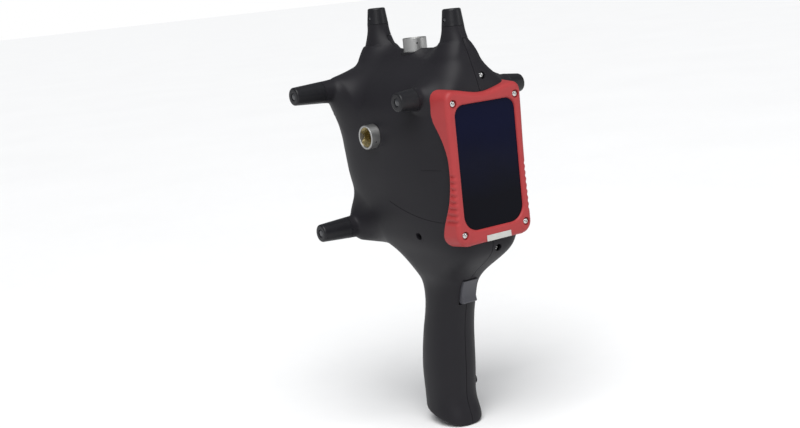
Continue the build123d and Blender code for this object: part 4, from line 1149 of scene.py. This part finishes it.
    def build(self) -> List[bpy.types.Object]:
        """The frame, with its screw and label recesses cut."""
        rows = self.rows()
        count = self.steps
        points = [tuple(spot) for line in rows for spot in line]
        faces = []
        for low in range(len(rows)):
            high = (low + 1) % len(rows)
            for index in range(count):
                after = (index + 1) % count
                faces.append((low * count + index, low * count + after,
                              high * count + after, high * count + index))
        frame_piece = from_points("window_bumper", points, faces)
        tidy_normals(frame_piece, 0.02)
        tools = []
        for x in (-self.screw_x, self.screw_x):
            for z in self.screw_z:
                tools.append(rod_cutter((x, self.face_y + 1.9, z), FORWARD, self.recess_r, 8.0, 48))
        (low_x, low_z), (high_x, high_z) = self.label_seat
        tools.append(box_cutter((low_x, self.face_y - 3.0, low_z), (high_x, self.face_y + 0.3, high_z)))
        cut(frame_piece, [joined(tools, "bumper_tools")])
        tidy_normals(frame_piece, 0.002)
        smooth(frame_piece, 38.0)
        place_on(frame_piece, HOUSING, "bumper", ["front_bumper"])
        return [frame_piece]


@dataclass
class WindowGlass:
    """The tinted scan window: a slab with rounded corners and a fine polished edge."""

    front_y: float = -91.0
    back_y: float = -88.2
    edge: float = 0.4
    lap: float = 1.2

    def build(self) -> List[bpy.types.Object]:
        """The glass."""
        frame_sizes = Bumper()
        loop = frame_sizes.window_loop()
        middle = np.array((0.0, frame_sizes.window_z))
        way = loop - middle
        way /= np.linalg.norm(way, axis=1)[:, None]
        rows = [(self.lap - self.edge, self.front_y), (self.lap, self.front_y + self.edge),
                (self.lap, self.back_y - self.edge), (self.lap - self.edge, self.back_y)]
        count = len(loop)
        points = []
        for grow, y in rows:
            points += [(x, y, z) for x, z in loop + way * grow]
        faces = [list(range(count)), list(range(3 * count, 4 * count))[::-1]]
        for low in range(3):
            for index in range(count):
                after = (index + 1) % count
                faces.append([low * count + index, low * count + after,
                              (low + 1) * count + after, (low + 1) * count + index])
        glass = from_points("scan_window_glass", points, faces)
        tidy_normals(glass)
        smooth(glass, 30.0)
        place_on(glass, HOUSING, "window", ["scan_window"])
        return [glass]


@dataclass
class LabelPlate:
    """The blank plate on the bumper's lower rail, with two small rivets."""

    low: Point = (-11.45, -93.35, 180.95)
    high: Point = (16.45, -92.95, 186.45)
    rivet_r: float = 0.6
    rivet_len: float = 0.24
    rivet_in: float = 1.6

    def build(self) -> List[bpy.types.Object]:
        """The plate."""
        plate = box_cutter(self.low, self.high, 0.12, 2)
        middle_z = (self.low[2] + self.high[2]) / 2.0
        rivets = [rod_cutter((x, self.high[1] - 0.2, middle_z), FORWARD, self.rivet_r, self.rivet_len, 20)
                  for x in (self.low[0] + self.rivet_in, self.high[0] - self.rivet_in)]
        cut(plate, [joined(rivets, "rivets")], "UNION")
        plate.name = "bumper_label_plate"
        smooth(plate, 30.0)
        place_on(plate, HOUSING, "label", ["label_plate"])
        return [plate]


# ------------------------------------------------------------------ screws
@dataclass
class ButtonScrew:
    """A button-head screw with a hex socket and rolled thread."""

    head_r: float = 2.85
    head_h: float = 1.65
    rim_h: float = 0.35
    socket_r: float = 1.15
    socket_depth: float = 1.1
    shank_r: float = 1.5
    pitch: float = 0.5

    def at(self, seat: Point, out: Point, length: float) -> bpy.types.Object:
        """One screw seated at a point.

        Args:
            seat: Centre of the face under its head.
            out: Way from the seat to the head.
            length: Length of the shank.

        Returns:
            The screw, with its place in its mesh.
        """
        profile = [(0.0, -length), (self.shank_r - 0.5, -length)]
        turns = int((length - 1.0) / self.pitch)
        for turn in range(turns):
            base = -length + 0.4 + turn * self.pitch
            profile += [(self.shank_r - 0.25, base), (self.shank_r - 0.02, base + self.pitch / 2.0)]
        profile += [(self.shank_r - 0.02, -0.3), (self.head_r, 0.0), (self.head_r, self.rim_h)]
        for turn in np.linspace(15.0, 80.0, 7):
            lean = math.radians(float(turn))
            profile.append((self.head_r * math.cos(lean) * 0.98 + 0.02,
                            self.rim_h + (self.head_h - self.rim_h) * math.sin(lean)))
        profile.append((0.0, self.head_h))
        screw = turned("button_screw", profile, ORIGIN, UP, 40)
        bottom = self.head_h - self.socket_depth
        above = self.head_h + 1.0
        hexagon = [(0.0, bottom), (self.socket_r, bottom), (self.socket_r, above), (0.0, above)]
        socket = turned("socket", hexagon, ORIGIN, UP, 6)
        cut(screw, [socket])
        screw.data.transform(axis_matrix(seat, out))
        tidy_normals(screw, 0.002)
        smooth(screw, 40.0)
        return screw


@dataclass
class Screws:
    """The button screws of the bumper and of the housing's front."""

    bumper_seat_y: float = -91.4
    bumper_len: float = 12.0
    front_len: float = 16.0

    def build(self) -> List[bpy.types.Object]:
        """One piece for each set of like screws."""
        model = ButtonScrew()
        frame_sizes = Bumper()
        bumper_set = [model.at((x, self.bumper_seat_y, z), FORWARD, self.bumper_len)
                      for x in (-frame_sizes.screw_x, frame_sizes.screw_x) for z in frame_sizes.screw_z]
        made = [joined(bumper_set, "bumper_screw_set")]
        place_on(made[-1], HOUSING, "steel", ["bumper_screws"])
        housing_sizes = Housing()
        front_set = [model.at((x, housing_sizes.front_seat_y, z), FORWARD, self.front_len)
                     for x, z in housing_sizes.front_screws]
        made.append(joined(front_set, "front_screw_set"))
        place_on(made[-1], HOUSING, "steel", ["front_housing_screws"])
        return made


# ------------------------------------------------------------------ marker posts
@dataclass
class Markers:
    """The tapered marker caps with their lenses or light pipes."""

    base_r: float = 10.2
    tip_r: float = 8.5
    edge_r: float = 1.8
    bore_r: float = 6.3
    tip_wall: float = 2.2
    seam_chamfer: float = 0.35
    lens_r: float = 3.6
    pipe_r: float = 2.2
    pipe_height: float = 6.2
    grub_height: float = 1.9
    grub_r: float = 0.95

    def _cap(self, post: Post) -> bpy.types.Object:
        """A hollow cap in line with +Z, its seam at the origin."""
        length = post.cap_len
        profile = [(self.bore_r, length - self.tip_wall), (self.bore_r, 0.0),
                   (self.base_r - self.seam_chamfer, 0.0), (self.base_r, self.seam_chamfer)]
        for share in np.linspace(0.1, 1.0, 8):
            profile.append((self.base_r + (self.tip_r - self.base_r) * share, (length - self.edge_r) * share))
        for turn in np.linspace(12.0, 90.0, 8):
            lean = math.radians(float(turn))
            profile.append((self.tip_r - self.edge_r * (1.0 - math.cos(lean)),
                            length - self.edge_r * (1.0 - math.sin(lean))))
        if post.upright:
            profile += [(0.0, length)]
            profile = [(0.0, length - self.tip_wall)] + profile
        else:
            profile += [(self.lens_r + 0.7, length), (self.lens_r + 0.25, length - 0.5),
                        (self.lens_r + 0.05, length - 0.6), (self.lens_r + 0.05, length - self.tip_wall),
                        (self.bore_r, length - self.tip_wall)]
        return turned("cap", profile, ORIGIN, UP, 72)

    def build(self) -> List[bpy.types.Object]:
        """A cap and a lens for every post."""
        made = []
        for name, post in POSTS.items():
            cap = self._cap(post)
            grub = axis_matrix(post.place, post.out).inverted().to_3x3() @ (
                Vector((0.0, 1.0, 0.0)) if post.upright else Vector((0.0, 0.0, 1.0)))
            cut(cap, [rod_cutter((0.0, 0.0, self.grub_height), tuple(grub), self.grub_r, 14.0, 24)])
            if post.upright:
                across = axis_matrix(post.place, post.out).inverted().to_3x3() @ Vector((1.0, 0.0, 0.0))
                start = Vector((0.0, 0.0, self.pipe_height)) - across * 20.0
                cut(cap, [rod_cutter(tuple(start), tuple(across), self.pipe_r + 0.08, 40.0, 40)])
            cap.data.transform(axis_matrix(post.place, post.out))
            cap.name = name + "_cap"
            tidy_normals(cap, 0.002)
            smooth(cap, 35.0)
            place_on(cap, HOUSING, "cap", [name + "_marker_cap"])
            made.append(cap)
            made.append(self._lens(name, post))
        return made

    def _lens(self, name: str, post: Post) -> bpy.types.Object:
        """The domed end lens, or the light pipe of an upright post."""
        if post.upright:
            reach = self.base_r - (self.base_r - self.tip_r) * self.pipe_height / post.cap_len - 0.45
            profile = [(0.0, -reach), (self.pipe_r * 0.7, -reach + 0.12), (self.pipe_r, -reach + 0.6),
                       (self.pipe_r, reach - 0.6), (self.pipe_r * 0.7, reach - 0.12), (0.0, reach)]
            middle = along(post.place, post.out, self.pipe_height)
            lens = turned(name + "_pipe", profile, middle, RIGHT, 40)
            node = name + "_marker_light_pipe"
        else:
            top = post.cap_len - 0.35
            profile = [(0.0, top - 2.0), (self.lens_r - 0.1, top - 2.0), (self.lens_r - 0.1, top - 0.7)]
            for turn in np.linspace(20.0, 80.0, 5):
                lean = math.radians(float(turn))
                profile.append(((self.lens_r - 0.1) * math.cos(lean), top - 0.7 + 0.65 * math.sin(lean)))
            profile.append((0.0, top - 0.03))
            lens = turned(name + "_lens", profile, post.place, post.out, 48)
            node = name + "_marker_lens"
        smooth(lens, 40.0)
        place_on(lens, HOUSING, "marker_lens", [node])
        return lens


# ------------------------------------------------------------------ reflectors
@dataclass
class Reflectors:
    """The turned rings of the tracker reflectors."""

    ring_r: float = 11.1
    bore_r: float = 9.3
    length: float = 18.0
    floor: float = 3.0
    rim: float = 0.45
    grub_depth: float = 5.0
    grub_r: float = 0.95

    def build(self) -> List[bpy.types.Object]:
        """A ring for each reflector."""
        made = []
        for name, (place, out) in REFLECTORS.items():
            profile = [(0.0, -self.length), (self.ring_r - 0.3, -self.length),
                       (self.ring_r, -self.length + 0.3),
                       (self.ring_r, -self.rim), (self.ring_r - self.rim, 0.0), (self.bore_r + 0.5, 0.0),
                       (self.bore_r, -0.5), (self.bore_r, -self.length + self.floor),
                       (0.0, -self.length + self.floor)]
            ring = turned(name + "_ring", profile, ORIGIN, UP, 96)
            tools = []
            for turn in (35.0, 155.0, 275.0):
                way = (math.cos(math.radians(turn)), math.sin(math.radians(turn)), 0.0)
                tools.append(rod_cutter(along((0.0, 0.0, -self.grub_depth), way, self.bore_r - 1.0), way,
                                        self.grub_r, 6.0, 24))
            cut(ring, [joined(tools, "ring_tools")])
            ring.data.transform(axis_matrix(place, out))
            tidy_normals(ring, 0.002)
            smooth(ring, 35.0)
            place_on(ring, HOUSING, "reflector_ring", [name + "_reflector_ring"])
            made.append(ring)
        return made


# ------------------------------------------------------------------ trigger
@dataclass
class Trigger:
    """The finger trigger: a slightly hollowed front with a lip at the bottom, on the node's pivot."""

    half: float = 8.0
    pin: Tuple[float, float] = (-38.0, 132.5)
    pin_r: float = 1.55
    edge_r: float = 1.2
    pad: Tuple[Point, Point] = ((-2.2, -38.5, 115.8), (2.2, -32.8, 118.6))
    side: Tuple[Tuple[float, float], ...] = (
        (-42.4, 114.9), (-43.9, 115.3), (-44.6, 116.4), (-44.2, 118.2), (-43.6, 121.0), (-43.7, 124.5),
        (-44.5, 128.0), (-45.8, 131.5), (-47.5, 135.0), (-48.7, 137.0), (-48.2, 137.4), (-36.4, 137.4),
        (-34.2, 134.6), (-34.2, 130.0), (-35.6, 127.0), (-35.6, 122.0), (-36.6, 119.0), (-38.2, 115.2))

    def build(self) -> List[bpy.types.Object]:
        """The blade, its pin bore and the pad that presses the switch."""
        count = len(self.side)
        points = [(-self.half, y, z) for y, z in self.side] + [(self.half, y, z) for y, z in self.side]
        faces = [list(range(count)), list(range(count, 2 * count))[::-1]]
        faces += [[i, (i + 1) % count, count + (i + 1) % count, count + i] for i in range(count)]
        blade = from_points("trigger_blade", points, faces)
        tidy_normals(blade)
        finish_with(blade, "BEVEL", width=self.edge_r * MM, segments=5,
                    limit_method="ANGLE", angle_limit=math.radians(60.0))
        tidy_normals(blade)
        cut(blade, [box_cutter(*self.pad, 0.4)], "UNION")
        bore = rod_cutter((-self.half - 1.0, *self.pin), RIGHT, self.pin_r, 2.0 * self.half + 2.0, 32)
        cut(blade, [bore])
        smooth(blade, 40.0)
        place_on(blade, "trigger", "trigger", ["trigger"])
        return [blade]


ASSEMBLIES = (Housing, Bumper, WindowGlass, LabelPlate, Screws, Markers, Reflectors, Trigger)


def dress_fittings() -> None:
    """Gives every carried-over solid the finish of its slot in the record."""
    slots = {entry["node"]: entry["material_slot"] for entry in frame["record"]["subparts"]}
    for name, piece in frame["nodes"].items():
        if piece.hide_render:
            continue
        finish = SLOT_FINISH[slots[name]]
        for index in range(max(1, len(piece.material_slots))):
            if piece.material_slots:
                piece.material_slots[index].material = finish.material()
            else:
                piece.data.materials.append(finish.material())


def main() -> None:
    """Builds every sub-assembly in order."""
    Studio().build()
    for assembly in ASSEMBLIES:
        for piece in assembly().build():
            log.info("made %s", piece.name)
    dress_fittings()


if __name__ == "__main__":
    main()
